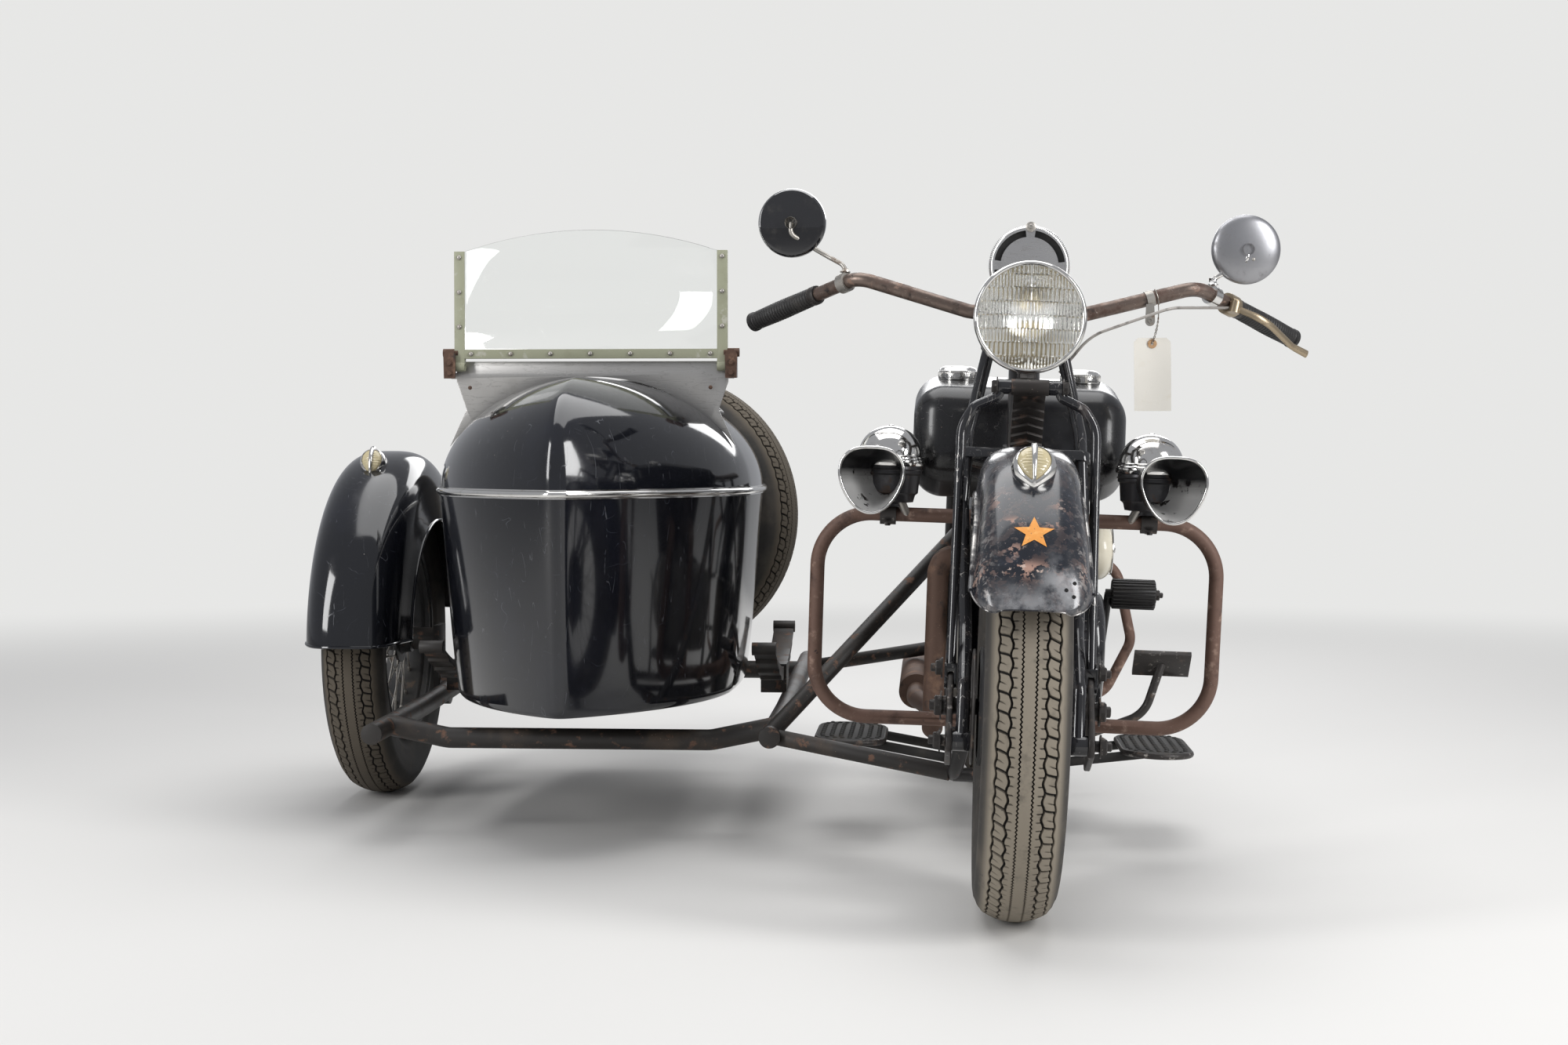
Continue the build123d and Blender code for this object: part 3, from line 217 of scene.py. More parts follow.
def draw_scratches(group, given, place):
    """The contour of a stretched noise at one half, broken up by a slower noise."""
    away = calc(group, "SUBTRACT", cloud(group, place, given["Scale"], 1.5, Distortion=0.4), 0.5)
    line = ramp(group, calc(group, "ABSOLUTE", away), given["Softness"], 0.0)
    shifted = vector_calc(group, "ADD", given["Vector"], (5, 3, 8)).outputs[0]
    slow = cloud(group, shifted, calc(group, "MULTIPLY", given["Scale"], 1.7), 4.0)
    cut = calc(group, "MULTIPLY_ADD", given["Amount"], -0.5, 0.75)
    return calc(group, "MULTIPLY", line, ramp(group, slow, cut, calc(group, "ADD", cut, 0.08)))


def mark(name, scale, softness, draw):
    """A shader node group that draws one kind of mask from a stretched place."""
    group = bpy.data.node_groups.new(name, "ShaderNodeTree")
    for label, value in (("Vector", (0, 0, 0)), ("Stretch", (1, 1, 1)), ("Scale", scale), ("Amount", 0.4),
                         ("Softness", softness)):
        kind = "NodeSocketFloat" if isinstance(value, float) else "NodeSocketVector"
        group.interface.new_socket(label, in_out="INPUT", socket_type=kind).default_value = value
    group.interface.new_socket("Mask", in_out="OUTPUT", socket_type="NodeSocketFloat")
    given = add_node(group, "NodeGroupInput").outputs
    place = vector_calc(group, "MULTIPLY", given["Vector"], given["Stretch"]).outputs[0]
    add_node(group, "NodeGroupOutput", {"Mask": draw(group, given, place)})
    return group


marks = {"patches": mark("patches", 20.0, 0.06, draw_patches),
         "specks": mark("specks", 200.0, 0.08, draw_specks),
         "scratches": mark("scratches", 30.0, 0.012, draw_scratches)}


def layer(kind, colour=None, roughness=None, metallic=None, height=0.0, strength=1.0, where=None, **inputs):
    """One layer of a finish: its mask (a mark, or an attribute of the mesh), the attribute that it is kept
    within, and what shows where it covers."""
    return {"kind": kind, "colour": colour, "roughness": roughness, "metallic": metallic, "height": height,
            "strength": strength, "where": where, "inputs": inputs}


def patches(scale, amount, softness, *tones, **more):
    return layer("patches", *tones, Scale=scale, Amount=amount, Softness=softness, **more)


def scratches(scale, amount, softness, *tones, **more):
    return layer("scratches", *tones, Scale=scale, Amount=amount, Softness=softness, **more)


def specks(scale, amount, *tones, **more):
    return layer("specks", *tones, Scale=scale, Amount=amount, **more)


def laid_over(tree, factor, under, over, kind):
    """Socket that mixes two colours or two numbers, each a value or a socket."""
    first = 6 if kind == "RGBA" else 2
    node = add_node(tree, "ShaderNodeMix", {0: factor, first: under, first + 1: over}, data_type=kind)
    return node.outputs[2 if kind == "RGBA" else 0]


def finish(name, colour, roughness, layers, metallic=0.0, bump=0.001, slot=None, **sockets):
    """A material: the first colour, then each layer laid over it where its mask covers, and their relief.
    The slot is not used."""
    material = bpy.data.materials.new(name)
    material.use_nodes = True
    tree = material.node_tree
    shader = tree.nodes["Principled BSDF"]
    place = add_node(tree, "ShaderNodeTexCoord").outputs["Object"]
    tone = {"colour": (*colour, 1), "roughness": roughness, "metallic": metallic}
    height = None

    def attribute(label):
        return add_node(tree, "ShaderNodeAttribute", attribute_name=label).outputs["Fac"]

    for entry in layers:
        if entry["kind"] in marks:
            group = add_node(tree, "ShaderNodeGroup", node_tree=marks[entry["kind"]])
            tree.links.new(place, group.inputs["Vector"])
            for label, value in entry["inputs"].items():
                group.inputs[label].default_value = value
            mask = group.outputs["Mask"]
        else:
            mask = attribute(entry["kind"])
        if entry["where"]:
            mask = calc(tree, "MULTIPLY", mask, attribute(entry["where"]))
        if entry["strength"] != 1.0:
            mask = calc(tree, "MULTIPLY", mask, entry["strength"])
        for key, kind in (("colour", "RGBA"), ("roughness", "FLOAT"), ("metallic", "FLOAT")):
            if entry[key] is not None:
                value = (*entry[key], 1) if key == "colour" else entry[key]
                tone[key] = laid_over(tree, mask, tone[key], value, kind)
        if entry["height"]:
            part = calc(tree, "MULTIPLY", mask, entry["height"])
            height = part if height is None else calc(tree, "ADD", height, part)
    for key, label in (("colour", "Base Color"), ("roughness", "Roughness"), ("metallic", "Metallic")):
        if isinstance(tone[key], bpy.types.NodeSocket):
            tree.links.new(tone[key], shader.inputs[label])
        else:
            shader.inputs[label].default_value = tone[key]
    if height is not None:
        relief = add_node(tree, "ShaderNodeBump", {"Height": height, "Distance": bump, "Strength": 1.0})
        tree.links.new(relief.outputs[0], shader.inputs["Normal"])
    for label, value in sockets.items():
        shader.inputs[label.replace("_", " ")].default_value = value
    return material


# A shape is a pair of points and faces. A piece joins several shapes into one object.
def round_turn(count):
    """Equal steps of angle round a circle, without the last."""
    return np.arange(count) * 2 * pi / count


def grid(points, around=False, along=False):
    """Shape of a (rows, columns, 3) array of points: quads between neighbours, joined round where asked."""
    points = np.asarray(points)
    rows, columns = points.shape[:2]
    row = np.arange(rows if along else rows - 1)[:, None]
    column = np.arange(columns if around else columns - 1)[None, :]
    next_row = (row + 1) % rows
    next_column = (column + 1) % columns
    faces = np.stack([row * columns + column, row * columns + next_column,
                      next_row * columns + next_column, next_row * columns + column], axis=-1)
    return points.reshape(-1, 3), faces.reshape(-1, 4).tolist()


def piece(name, shapes, material, body="chassis", place=leaning, replaces=None, slot=None, angle=38,
          closed=True, attributes=None):
    """One object from several shapes: doubled points merged, faces of closed shapes turned outwards, placed
    in the row frame, and smooth except at edges sharper than the angle."""
    faces = []
    count = 0
    for points, shape_faces in shapes:
        faces.extend([[index + count for index in face] for face in shape_faces])
        count += len(points)
    mesh = bpy.data.meshes.new(name)
    mesh.from_pydata(place(np.concatenate([points for points, _ in shapes])).tolist(), [], faces)
    for label, values in (attributes or {}).items():
        data = mesh.attributes.new(label, "FLOAT", "POINT").data
        data.foreach_set("value", values.ravel().astype(np.float32))
    if closed:
        shell = bmesh.new()
        shell.from_mesh(mesh)
        bmesh.ops.remove_doubles(shell, verts=shell.verts, dist=2e-6)
        bmesh.ops.recalc_face_normals(shell, faces=shell.faces)
        shell.to_mesh(mesh)
        shell.free()
    mesh.shade_smooth()
    mesh.set_sharp_from_angle(angle=radians(angle))
    mesh.materials.append(material)
    made = show(bpy.data.objects.new(name, mesh))
    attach(made, body)
    if replaces:
        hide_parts(replaces)
    return made


# Half of the tread, from the centre line outwards: distance along the crown (mm), depth (mm), wave
# (0 straight, 1 fine zigzag, 2 block edge, 3 shoulder edge) and whether it is part of a sliced rib or block.
tread_rows = [(0, 0, 0, 0), (8.9, 0, 1, 0), (9.5, 4.5, 1, 0), (11.4, 4.5, 1, 0), (12, 0, 1, 0), (17, 0, 0, 0),
              (20, 0, 0, 1), (24.8, 0, 2, 1), (25.6, 5, 2, 0), (28.4, 5, 2, 0), (29.2, 0, 2, 2),
              (33, 0, 0, 2), (40, 0, 0, 2), (44.6, 0, 3, 2), (45.4, 4.5, 3, 0), (47.6, 4.5, 3, 0),
              (48.4, 0, 3, 0), (52, 0, 0, 0)]
# The side: radius (mm) and how far a moulded line stands out of it (mm). Below the last two rows is the bead.
side_rows = [(310, 0), (302, 0), (298, 1.2), (290, 1.2), (286, 0), (276, 0), (262, 0), (250, 0), (246, 1),
             (240, 1), (236, 0), (228, 0), (221, 1.2), (214, 1.2), (206, 0)]
bead_radius = 0.216
bead_half = 0.0455
pitches = 72
steps = 16
crown_rise = 0.016
crown_half = 0.052


def tyre_grid():
    """Points and groove mask of a tyre about the x axis. Across, a row sits at an arc length s along the
    crown, then down the side on a rounded curve to the bead. Around, 16 steps make one block, and a wave
    moves the groove edges sideways by a triangle of one quarter of a block, or a sine of one block."""
    turn = round_turn(pitches * steps)
    step = np.arange(pitches * steps) % steps
    waves = (0, 1.3 * (np.abs(step % 4 - 2) - 1), 1.9 * np.cos(2 * pi * step / steps),
             1.3 * np.cos(2 * pi * (step / steps + 0.12)))
    crown_radius = (crown_half ** 2 + crown_rise ** 2) / (2 * crown_rise)
    sheets = []
    dips = []
    for side in (-1, 1):
        for s, depth, wave, group in (tread_rows if side > 0 else tread_rows[:0:-1]):
            cut = np.zeros_like(turn)
            if group == 2:
                cut = np.where(step < 2, 4.3, 0.0) + np.where((step == 9) & (s > 36), 2.5, 0.0)
            if group == 1:
                cut = np.where((step % 8 == 3) & (s > 19), 3.2, 0.0)
            down = np.maximum(depth, cut) * mm
            angle = (s + waves[wave] * np.ones_like(turn)) * mm / crown_radius
            out = tyre_radius - crown_radius + (crown_radius - down) * np.cos(angle)
            round_to = turn + side * 0.22 * max(0.0, s - 29) / 19 * 2 * pi / pitches
            sheets.append(np.stack([side * (crown_radius - down) * np.sin(angle), out * np.cos(round_to),
                                    out * np.sin(round_to)], -1))
            dips.append(np.clip(down / mm / 3.5, 0, 1))
    sides = []
    for out, raised in side_rows:
        out *= mm
        lean_in = min((0.318 - out) / (0.318 - 0.222), 1)
        across = crown_half + 0.0130 * sin(pi * lean_in ** 0.8) - 0.006 * lean_in ** 2 + raised * mm
        sides.append((bead_half if out < bead_radius else across, out))
    for side, rows in ((1, sides), (-1, sides[::-1])):
        ring = [np.stack([np.full_like(turn, side * across), out * np.cos(turn), out * np.sin(turn)], -1)
                for across, out in rows]
        mask = [np.zeros_like(turn) for _ in rows]
        sheets = sheets + ring if side > 0 else ring + sheets
        dips = dips + mask if side > 0 else mask + dips
    return np.array(sheets), np.array(dips)


dusty = patches(9, 0.62, 0.3, (0.10, 0.085, 0.068), 0.9, strength=0.55)
sooty = patches(46, 0.36, 0.12, (0.014, 0.013, 0.012), strength=0.7)
moulded = [specks(420, 0.8, (0.17, 0.15, 0.12), strength=0.5, Softness=0.1),
           patches(260, 0.5, 0.4, height=0.4)]
# The grooves carry none of the tread's dust, and are painted darker than the bare rubber: painted shade in the
# grooves.
groove_painted_shade = layer("groove", (0.009, 0.008, 0.007), 0.95)
dusty_rubber = finish("dusty_rubber", (0.030, 0.027, 0.024), 0.78, bump=0.0006, slot="tyre", layers=[
    dusty, layer("tread", (0.27, 0.235, 0.185), 0.95, strength=0.9),
    patches(30, 0.44, 0.2, (0.10, 0.088, 0.072), strength=0.6),
    patches(24, 0.13, 0.03, (0.012, 0.011, 0.010), 0.6), *moulded, groove_painted_shade])
old_rubber = finish("old_rubber", (0.024, 0.022, 0.020), 0.72, bump=0.0006, slot="tyre", layers=[
    dusty, sooty, layer("tread", (0.115, 0.095, 0.070), 0.9, strength=0.75), *moulded, groove_painted_shade])


def yawed(points, yaw):
    """Points turned about the vertical, as the spare is."""
    return np.asarray(points) @ np.array([[cos(yaw), sin(yaw), 0], [-sin(yaw), cos(yaw), 0], [0, 0, 1]])


side_wheel_centre = (-1.320, 1.255, tyre_radius)
wheels = [("front", (0, 0, tyre_radius), "front_wheel_set", leaning, 0),
          ("rear", (0, wheelbase, tyre_radius), "rear_wheel_set", leaning, 0),
          ("sidecar", side_wheel_centre, "sidecar_wheel_set", level, 0),
          ("spare", (-0.770, 1.888, 0.590), "chassis", level, radians(90 - 22))]
for name, centre, body, place, yaw in wheels:
    points, groove = tyre_grid()
    tread = np.clip((np.hypot(points[..., 1], points[..., 2]) - 0.309) / 0.008, 0, 1)
    rubber = dusty_rubber if name == "front" else old_rubber
    piece(name + "_tyre_tread", [grid(yawed(points, yaw) + np.array(centre), around=True, along=True)], rubber,
          body, place, name + "_tyre", angle=50, closed=False, attributes={"groove": groove, "tread": tread})


# Wheels
# Drop-centre steel rims laced with forty crossed wire spokes to a turned hub. The motorcycle's hubs carry
# pressed brake drums, and the rear one its chain sprocket. Rims and hubs are painted black and worn.


def unit(vector):
    return vector / np.linalg.norm(vector)


def lathe(profile, centre, axis, count=72, closed=False):
    """Shape turned about an axis: each (distance along the axis, radius) pair becomes a ring."""
    axis = unit(np.array(axis, float))
    first = unit(np.cross(axis, (0, 0, 1) if abs(axis[2]) < 0.9 else (1, 0, 0)))
    second = np.cross(axis, first)
    turn = round_turn(count)
    profile = np.array(profile, float) * mm
    spread = np.cos(turn)[:, None] * first + np.sin(turn)[:, None] * second
    points = profile[:, None, :1] * axis + profile[:, None, 1:] * spread[None] + np.array(centre)
    return grid(points, around=True, along=closed)


def sleeve(near, far, inner, outer, centre, axis, count, closed=True):
    """A plain ring between two distances along its axis and two radii."""
    return lathe([(near, inner), (near, outer), (far, outer), (far, inner)], centre, axis, count, closed)


def capped(rows):
    """Shape of closed rows with flat ends."""
    points, faces = grid(rows, around=True)
    count = len(rows[0])
    return points, faces + [list(range(count))[::-1], list(range(len(points) - count, len(points)))]


def sweep(path, radius, sides=14, flat=1.0, closed=False):
    """Round or flattened bar along a path: each ring stands square to the path, and its narrow axis is
    carried along from ring to ring without twisting, from the path's own plane. The radius may vary."""
    path = np.array(path, float)
    radius = np.broadcast_to(np.asarray(radius, float) * mm, len(path))
    if closed:
        ahead = np.roll(path, -1, 0) - np.roll(path, 1, 0)
    else:
        ahead = np.gradient(path, axis=0)
    ahead /= np.linalg.norm(ahead, axis=1)[:, None]
    plane = np.linalg.svd(path - path.mean(0))[2][2]
    if len(path) == 2 or abs(plane @ ahead[0]) > 0.9:
        plane = np.cross(ahead[0], (0, 0, 1) if abs(ahead[0][2]) < 0.9 else (1, 0, 0))
    carried = []
    for heading in ahead:
        plane = unit(plane - heading * (plane @ heading))
        carried.append(plane)
    narrow = np.array(carried)
    across = np.cross(ahead, narrow)
    turn = np.broadcast_to(round_turn(sides), (len(path), sides))
    if closed:
        slip = atan2(narrow[-1] @ across[0], narrow[-1] @ narrow[0])
        turn = turn + (slip * np.linspace(0, 1, len(path)))[:, None]
    ring = np.cos(turn)[..., None] * across[:, None] * flat + np.sin(turn)[..., None] * narrow[:, None]
    rows = path[:, None] + radius[:, None, None] * ring
    return grid(rows, around=True, along=True) if closed else capped(rows)


def hexagon(centre, axis, across_flats, height):
    """A bolt head or nut on its washer: a chamfered six-sided prism over a thin round disc."""
    half = across_flats / sqrt(3)
    washer = 1.35
    thick = height * 0.22
    head = [(thick, 0), (thick, half), (height * 0.82, half), (height, half * 0.84), (height, 0)]
    return [sleeve(0, thick, 0, half * washer, centre, axis, 20, closed=False), lathe(head, centre, axis, 6)]


wheel_black = finish("wheel_black", (0.018, 0.018, 0.019), 0.42, bump=0.0004, slot="black_paint", layers=[
    patches(34, 0.33, 0.12, (0.1, 0.065, 0.045), 0.75),
    patches(8, 0.55, 0.3, (0.085, 0.078, 0.068), 0.85, strength=0.5),
    specks(160, 0.75, (0.22, 0.15, 0.1), 0.8, height=-0.4)])
dull_plate = finish("dull_plate", (0.4, 0.38, 0.35), 0.42, metallic=0.9, bump=0.0003, slot="steel", layers=[
    patches(60, 0.42, 0.2, (0.16, 0.1, 0.065), 0.8, 0.2),
    specks(300, 0.7, (0.1, 0.06, 0.04), 0.85, 0.1, height=-0.5)])
oily_steel = finish("oily_steel", (0.17, 0.155, 0.135), 0.46, metallic=0.75, bump=0.0004, slot="steel",
                    layers=[
    patches(26, 0.56, 0.2, (0.045, 0.036, 0.028), 0.62, 0.1),
    patches(70, 0.32, 0.1, (0.17, 0.1, 0.06), 0.85, 0.1),
    specks(240, 0.8, (0.03, 0.02, 0.016), 0.8, 0, height=-0.5)])
spoke_count = 40
spoke_cross = radians(42)
well = 192
flange_radius = 0.046
drum_edge = 93
rim_half = [(-50, 221), (-52.5, 218), (-51.5, 214), (-48, 212), (-47.5, 203), (-38, 200), (-34, 194),
            (-30, well)]
rim_inside = [(46.5, 219), (45.5, 206), (-45.5, 206), (-46.5, 219)]
rim_section = rim_half + [(-x, r) for x, r in rim_half[::-1]] + rim_inside + rim_half[:1]
flange_half = [(40, 31), (34, 36), (33, 52), (27.5, 52), (26.5, 36), (18, 27)]


def wheel_pieces(name, centre, body, place, yaw, half_hub=56, drum=None):
    """Rim, spokes and hub of one wheel. A spoke leaves a hub flange 42 degrees round from where it meets the
    rim, alternately leading and trailing, on alternate sides. A drum has a side and two distances along x."""
    def put(points):
        return place(yawed(points, yaw) + np.array(centre))

    piece(name + "_rim", [lathe(rim_section, (0, 0, 0), (1, 0, 0), 144)], wheel_black, body, put, name,
          angle=30)
    index = np.arange(spoke_count)
    side = np.where(index % 2, 1, -1)
    at_rim = round_turn(spoke_count)
    at_hub = at_rim + np.where(index % 4 < 2, 1, -1) * spoke_cross
    seat = (well + 1) * mm
    starts = np.stack([side * 0.030, flange_radius * np.cos(at_hub), flange_radius * np.sin(at_hub)], -1)
    ends = np.stack([side * 0.008, seat * np.cos(at_rim), seat * np.sin(at_rim)], -1)
    wires = []
    for start, end in zip(starts, ends):
        along = unit(end - start)
        wires += [sweep([start, end], 1.9, 8),
                  sweep([end - along * 0.016, end - along * 0.014, end], [2.6, 3.6, 3.6], 8)]
    piece(name + "_spokes", wires, dull_plate, body, put)
    hub_half = [(half_hub, 9.5), (half_hub, 20), (half_hub, 29)] + flange_half
    hub = [lathe([(-x, r) for x, r in hub_half] + hub_half[::-1], (0, 0, 0), (1, 0, 0), 48)]
    if drum:
        way, near, far = drum
        rings = [(near, 30), (near, drum_edge - 12), (near + 4, drum_edge - 3), (near + 6, drum_edge),
                 (far - 6, drum_edge), (far - 4, drum_edge + 2), (far, drum_edge + 2), (far, drum_edge - 4),
                 (far - 3, drum_edge - 6), (far - 3, 30)]
        hub.append(lathe([(way * x, r) for x, r in rings], (0, 0, 0), (1, 0, 0), 96))
        for turn in round_turn(6):
            spot = (way * (near + 0.5) * mm, 0.060 * cos(turn), 0.060 * sin(turn))
            hub += hexagon(spot, (-way, 0, 0), 10, 6)
    piece(name + "_hub", hub, wheel_black, body, put)


hubs = {"front": {"half_hub": 58, "drum": (-1, 46, 66)}, "rear": {"half_hub": 91.5, "drum": (1, 46, 68)}}
for name, *where in wheels:
    wheel_pieces(name + "_wheel", *where, **hubs.get(name, {}))
sprocket_teeth = 51
tooth = np.where(np.arange(sprocket_teeth * 4) % 4 < 2, 0.0, 0.0035)


def toothed(rows, teeth, rise, centre):
    """Rings about the x axis that rise with the teeth: each row is x, radius and its share of the rise."""
    turn = round_turn(len(teeth))
    radii = [r + k * rise * teeth for _, r, k in rows]
    return [np.stack([np.full_like(turn, x), centre[1] + r * np.cos(turn), centre[2] + r * np.sin(turn)], -1)
            for (x, _, _), r in zip(rows, radii)]


sprocket_rows = [(0.0815, 0.052, 0), (0.0815, 0.0695, 1), (0.0865, 0.0695, 1), (0.0865, 0.052, 0)]
sprocket = grid(toothed(sprocket_rows, tooth, 1, wheels[1][1]), around=True, along=True)
piece("rear_sprocket", [sprocket], oily_steel, "rear_wheel_set")


# Sidecar body
# A sheet steel hull, pointed in front and square behind, with a separate deck that arches over it and a
# chrome half-round moulding along the joint. Both are hand-finished in deep blue-black enamel, now scratched.


def vec(*numbers):
    return np.array(numbers, float)


def settle(made):
    """Applies an object's modifiers by taking the mesh that they make."""
    bpy.context.view_layer.update()
    shown = made.evaluated_get(bpy.context.evaluated_depsgraph_get())
    mesh = bpy.data.meshes.new_from_object(shown)
    made.modifiers.clear()
    made.data = mesh
    mesh.shade_smooth()
    mesh.set_sharp_from_angle(angle=radians(38))


def thicken(made, thickness, offset=-1.0):
    """Gives a sheet its wall, inwards from its face."""
    wall = made.modifiers.new("wall", "SOLIDIFY")
    wall.thickness = thickness * mm
    wall.offset = offset
    wall.use_even_offset = True
    settle(made)


sidecar = functools.partial(piece, place=level)
body_x = -0.795
belt_z = 0.665
hull_bottom_z = 0.262
hull_edge = 0.018
crown_z = 0.884
widest_y = 0.834
nose_y = 0.340
tail_y = 1.690
body_half = 0.308
crease_radius = 0.010
bow_slope = 0.85
cockpit_front = 0.835
cockpit_rear = 1.420
cockpit_half = 0.205
in_place = vec(body_x, 0)


def arc_through(start, middle, end, count):
    """Points on the circle through three points, rows of outlines at once: the centre from the two chords'
    perpendiculars, then equal steps of angle from start to end."""
    a, b, c = (np.stack(np.broadcast_arrays(*point), -1) for point in (start, middle, end))
    ax, ay, bx, by, cx, cy = a[..., 0], a[..., 1], b[..., 0], b[..., 1], c[..., 0], c[..., 1]
    d = 2 * (ax * (by - cy) + bx * (cy - ay) + cx * (ay - by))
    aa, bb, cc = ((p ** 2).sum(-1) for p in (a, b, c))
    centre = np.stack([(aa * (by - cy) + bb * (cy - ay) + cc * (ay - by)) / d,
                       (aa * (cx - bx) + bb * (ax - cx) + cc * (bx - ax)) / d], -1)
    first, last = (np.arctan2(*(p - centre)[..., ::-1].T).T for p in (a, c))
    opening = (last - first + pi) % (2 * pi) - pi
    turn = first[..., None] + opening[..., None] * np.linspace(0, 1, count)
    radius = np.hypot(*(a - centre).T).T
    return centre[..., None, :] + radius[..., None, None] * np.stack([np.cos(turn), np.sin(turn)], -1)


def boat_outline(*sizes):
    """Closed plan outlines, one for each row of sizes (half width, nose, tail, half width of the tail): a
    bowed nose side to the widest station, a long gentle arc to the tail, a flat tail with round corners, and
    the mirror image. The nose line is rounded by adding its slope times (sqrt(a^2 + r^2) - a) at a distance
    a from the middle."""
    half, nose, tail, tail_half = np.broadcast_arrays(*[np.atleast_1d(np.asarray(v, float)) for v in sizes])
    widest = np.maximum(widest_y, nose + 0.160)
    bow = arc_through((0 * half, nose), (half * 0.655, nose + (widest - nose) * 0.415), (half, widest), 44)
    along = bow[..., 0]
    bow[..., 1] += bow_slope * (np.sqrt(along ** 2 + crease_radius ** 2) - along)
    flank = arc_through((half, widest), (half * 0.97, (widest + tail) / 2), (tail_half, tail), 34)[:, 1:-3]
    corner = np.linspace(0, 1, 7)[None, :] * pi / 2
    bend = np.minimum(0.045, tail_half * 0.5)[:, None]
    corner_x = tail_half[:, None] - bend * (1 - np.cos(corner))
    corner_y = tail[:, None] - bend * (1 - np.sin(corner)) * 0.7
    stern_x = (tail_half[:, None] - bend) * np.linspace(1, 0, 8)[None, 1:]
    stern = np.stack([np.concatenate([corner_x, stern_x], 1),
                      np.concatenate([corner_y, np.repeat(tail[:, None], 7, 1)], 1)], -1)
    right = np.concatenate([bow, flank, stern], 1)
    return np.concatenate([right, right[:, -2:0:-1] * np.array([-1, 1])], 1)


def at_heights(outlines, heights):
    """Plan outlines raised to their heights, in the sidecar's place."""
    z = np.broadcast_to(np.asarray(heights, float)[:, None, None], (*outlines.shape[:2], 1))
    return np.concatenate([outlines + in_place, z], -1)


body_enamel = finish("body_enamel", (0.0062, 0.0068, 0.0095), 0.085, bump=0.00025, Coat_Weight=0.35,
                     Coat_Roughness=0.05, slot="sidecar_paint", layers=[
    patches(4, 0.55, 0.35, (0.0105, 0.012, 0.019), 0.16, strength=0.8),
    patches(13, 0.42, 0.25, roughness=0.3, strength=0.5),
    scratches(26, 0.46, 0.006, (0.13, 0.135, 0.15), 0.45, strength=0.55, Stretch=(1, 1, 0.16)),
    scratches(15, 0.42, 0.0022, (0.1, 0.11, 0.135), 0.45, strength=0.5, Stretch=(0.5, 0.8, 1.1)),
    scratches(38, 0.36, 0.0028, (0.075, 0.085, 0.11), 0.4, strength=0.6),
    specks(75, 0.6, (0.24, 0.22, 0.2), 0.7, strength=0.85, Stretch=(1, 1, 0.55), Softness=0.05),
    patches(7, 0.5, 0.5, height=0.25)])
hull_share = np.linspace(0, 1, 22)
edge_turn = np.linspace(0, pi / 2, 7)[:-1]
rows_z = np.concatenate([hull_bottom_z + hull_edge * (1 - np.cos(edge_turn)),
                         hull_bottom_z + hull_edge + (belt_z - hull_bottom_z - hull_edge) * hull_share])
swell = np.concatenate([np.zeros(6), hull_share]) ** 0.8
inset = np.concatenate([hull_edge * (1 - np.sin(edge_turn)), np.zeros(22)])
hull_rows = at_heights(boat_outline(0.273 + 0.035 * swell - inset, 0.378 - 0.038 * swell + inset,
                                    1.650 + 0.040 * swell - inset, 0.190 + 0.025 * swell - inset), rows_z)
spine = hull_rows[0].copy()
spine[:, 0] = body_x
hull = sidecar("sidecar_hull_shell", [grid(hull_rows, around=True), grid([spine, hull_rows[0]], around=True)],
               body_enamel, replaces="sidecar_hull")
thicken(hull, 3)
tilt = np.linspace(0, pi / 2, 34)
fall = 1 - np.cos(tilt)
deck_rows = at_heights(boat_outline(body_half * np.cos(tilt) + 1e-7, nose_y + 0.330 * fall ** 1.4,
                                    tail_y - 0.210 * fall ** 1.15, 0.215 * np.cos(tilt) ** 0.9 + 1e-7),
                       belt_z + (crown_z - belt_z) * np.sin(tilt))
deck = sidecar("sidecar_deck_shell", [grid(deck_rows, around=True)], body_enamel, replaces="sidecar_deck")
thicken(deck, 3)

# The cockpit's plan is a rectangle with round corners, run round once.
corner_radius = 0.120
corner_turn = np.linspace(0, pi / 2, 9)
corner_x = cockpit_half - corner_radius
near_y = cockpit_front + corner_radius
far_y = cockpit_rear - corner_radius
corners = [(corner_x, far_y), (-corner_x, far_y), (-corner_x, near_y), (corner_x, near_y)]
plan = in_place + np.concatenate([
    np.column_stack([x + corner_radius * np.cos(corner_turn + quarter * pi / 2),
                     y + corner_radius * np.sin(corner_turn + quarter * pi / 2)])
    for quarter, (x, y) in enumerate(corners)])
cut_rows = [np.column_stack([plan, np.full(len(plan), z)]) for z in (0.72, 0.95)]
cutter = sidecar("cockpit_cutter", [capped(cut_rows)], body_enamel)
opening = deck.modifiers.new("cockpit", "BOOLEAN")
opening.object = cutter
opening.operation = "DIFFERENCE"
opening.solver = "EXACT"
settle(deck)
bpy.data.objects.remove(cutter)
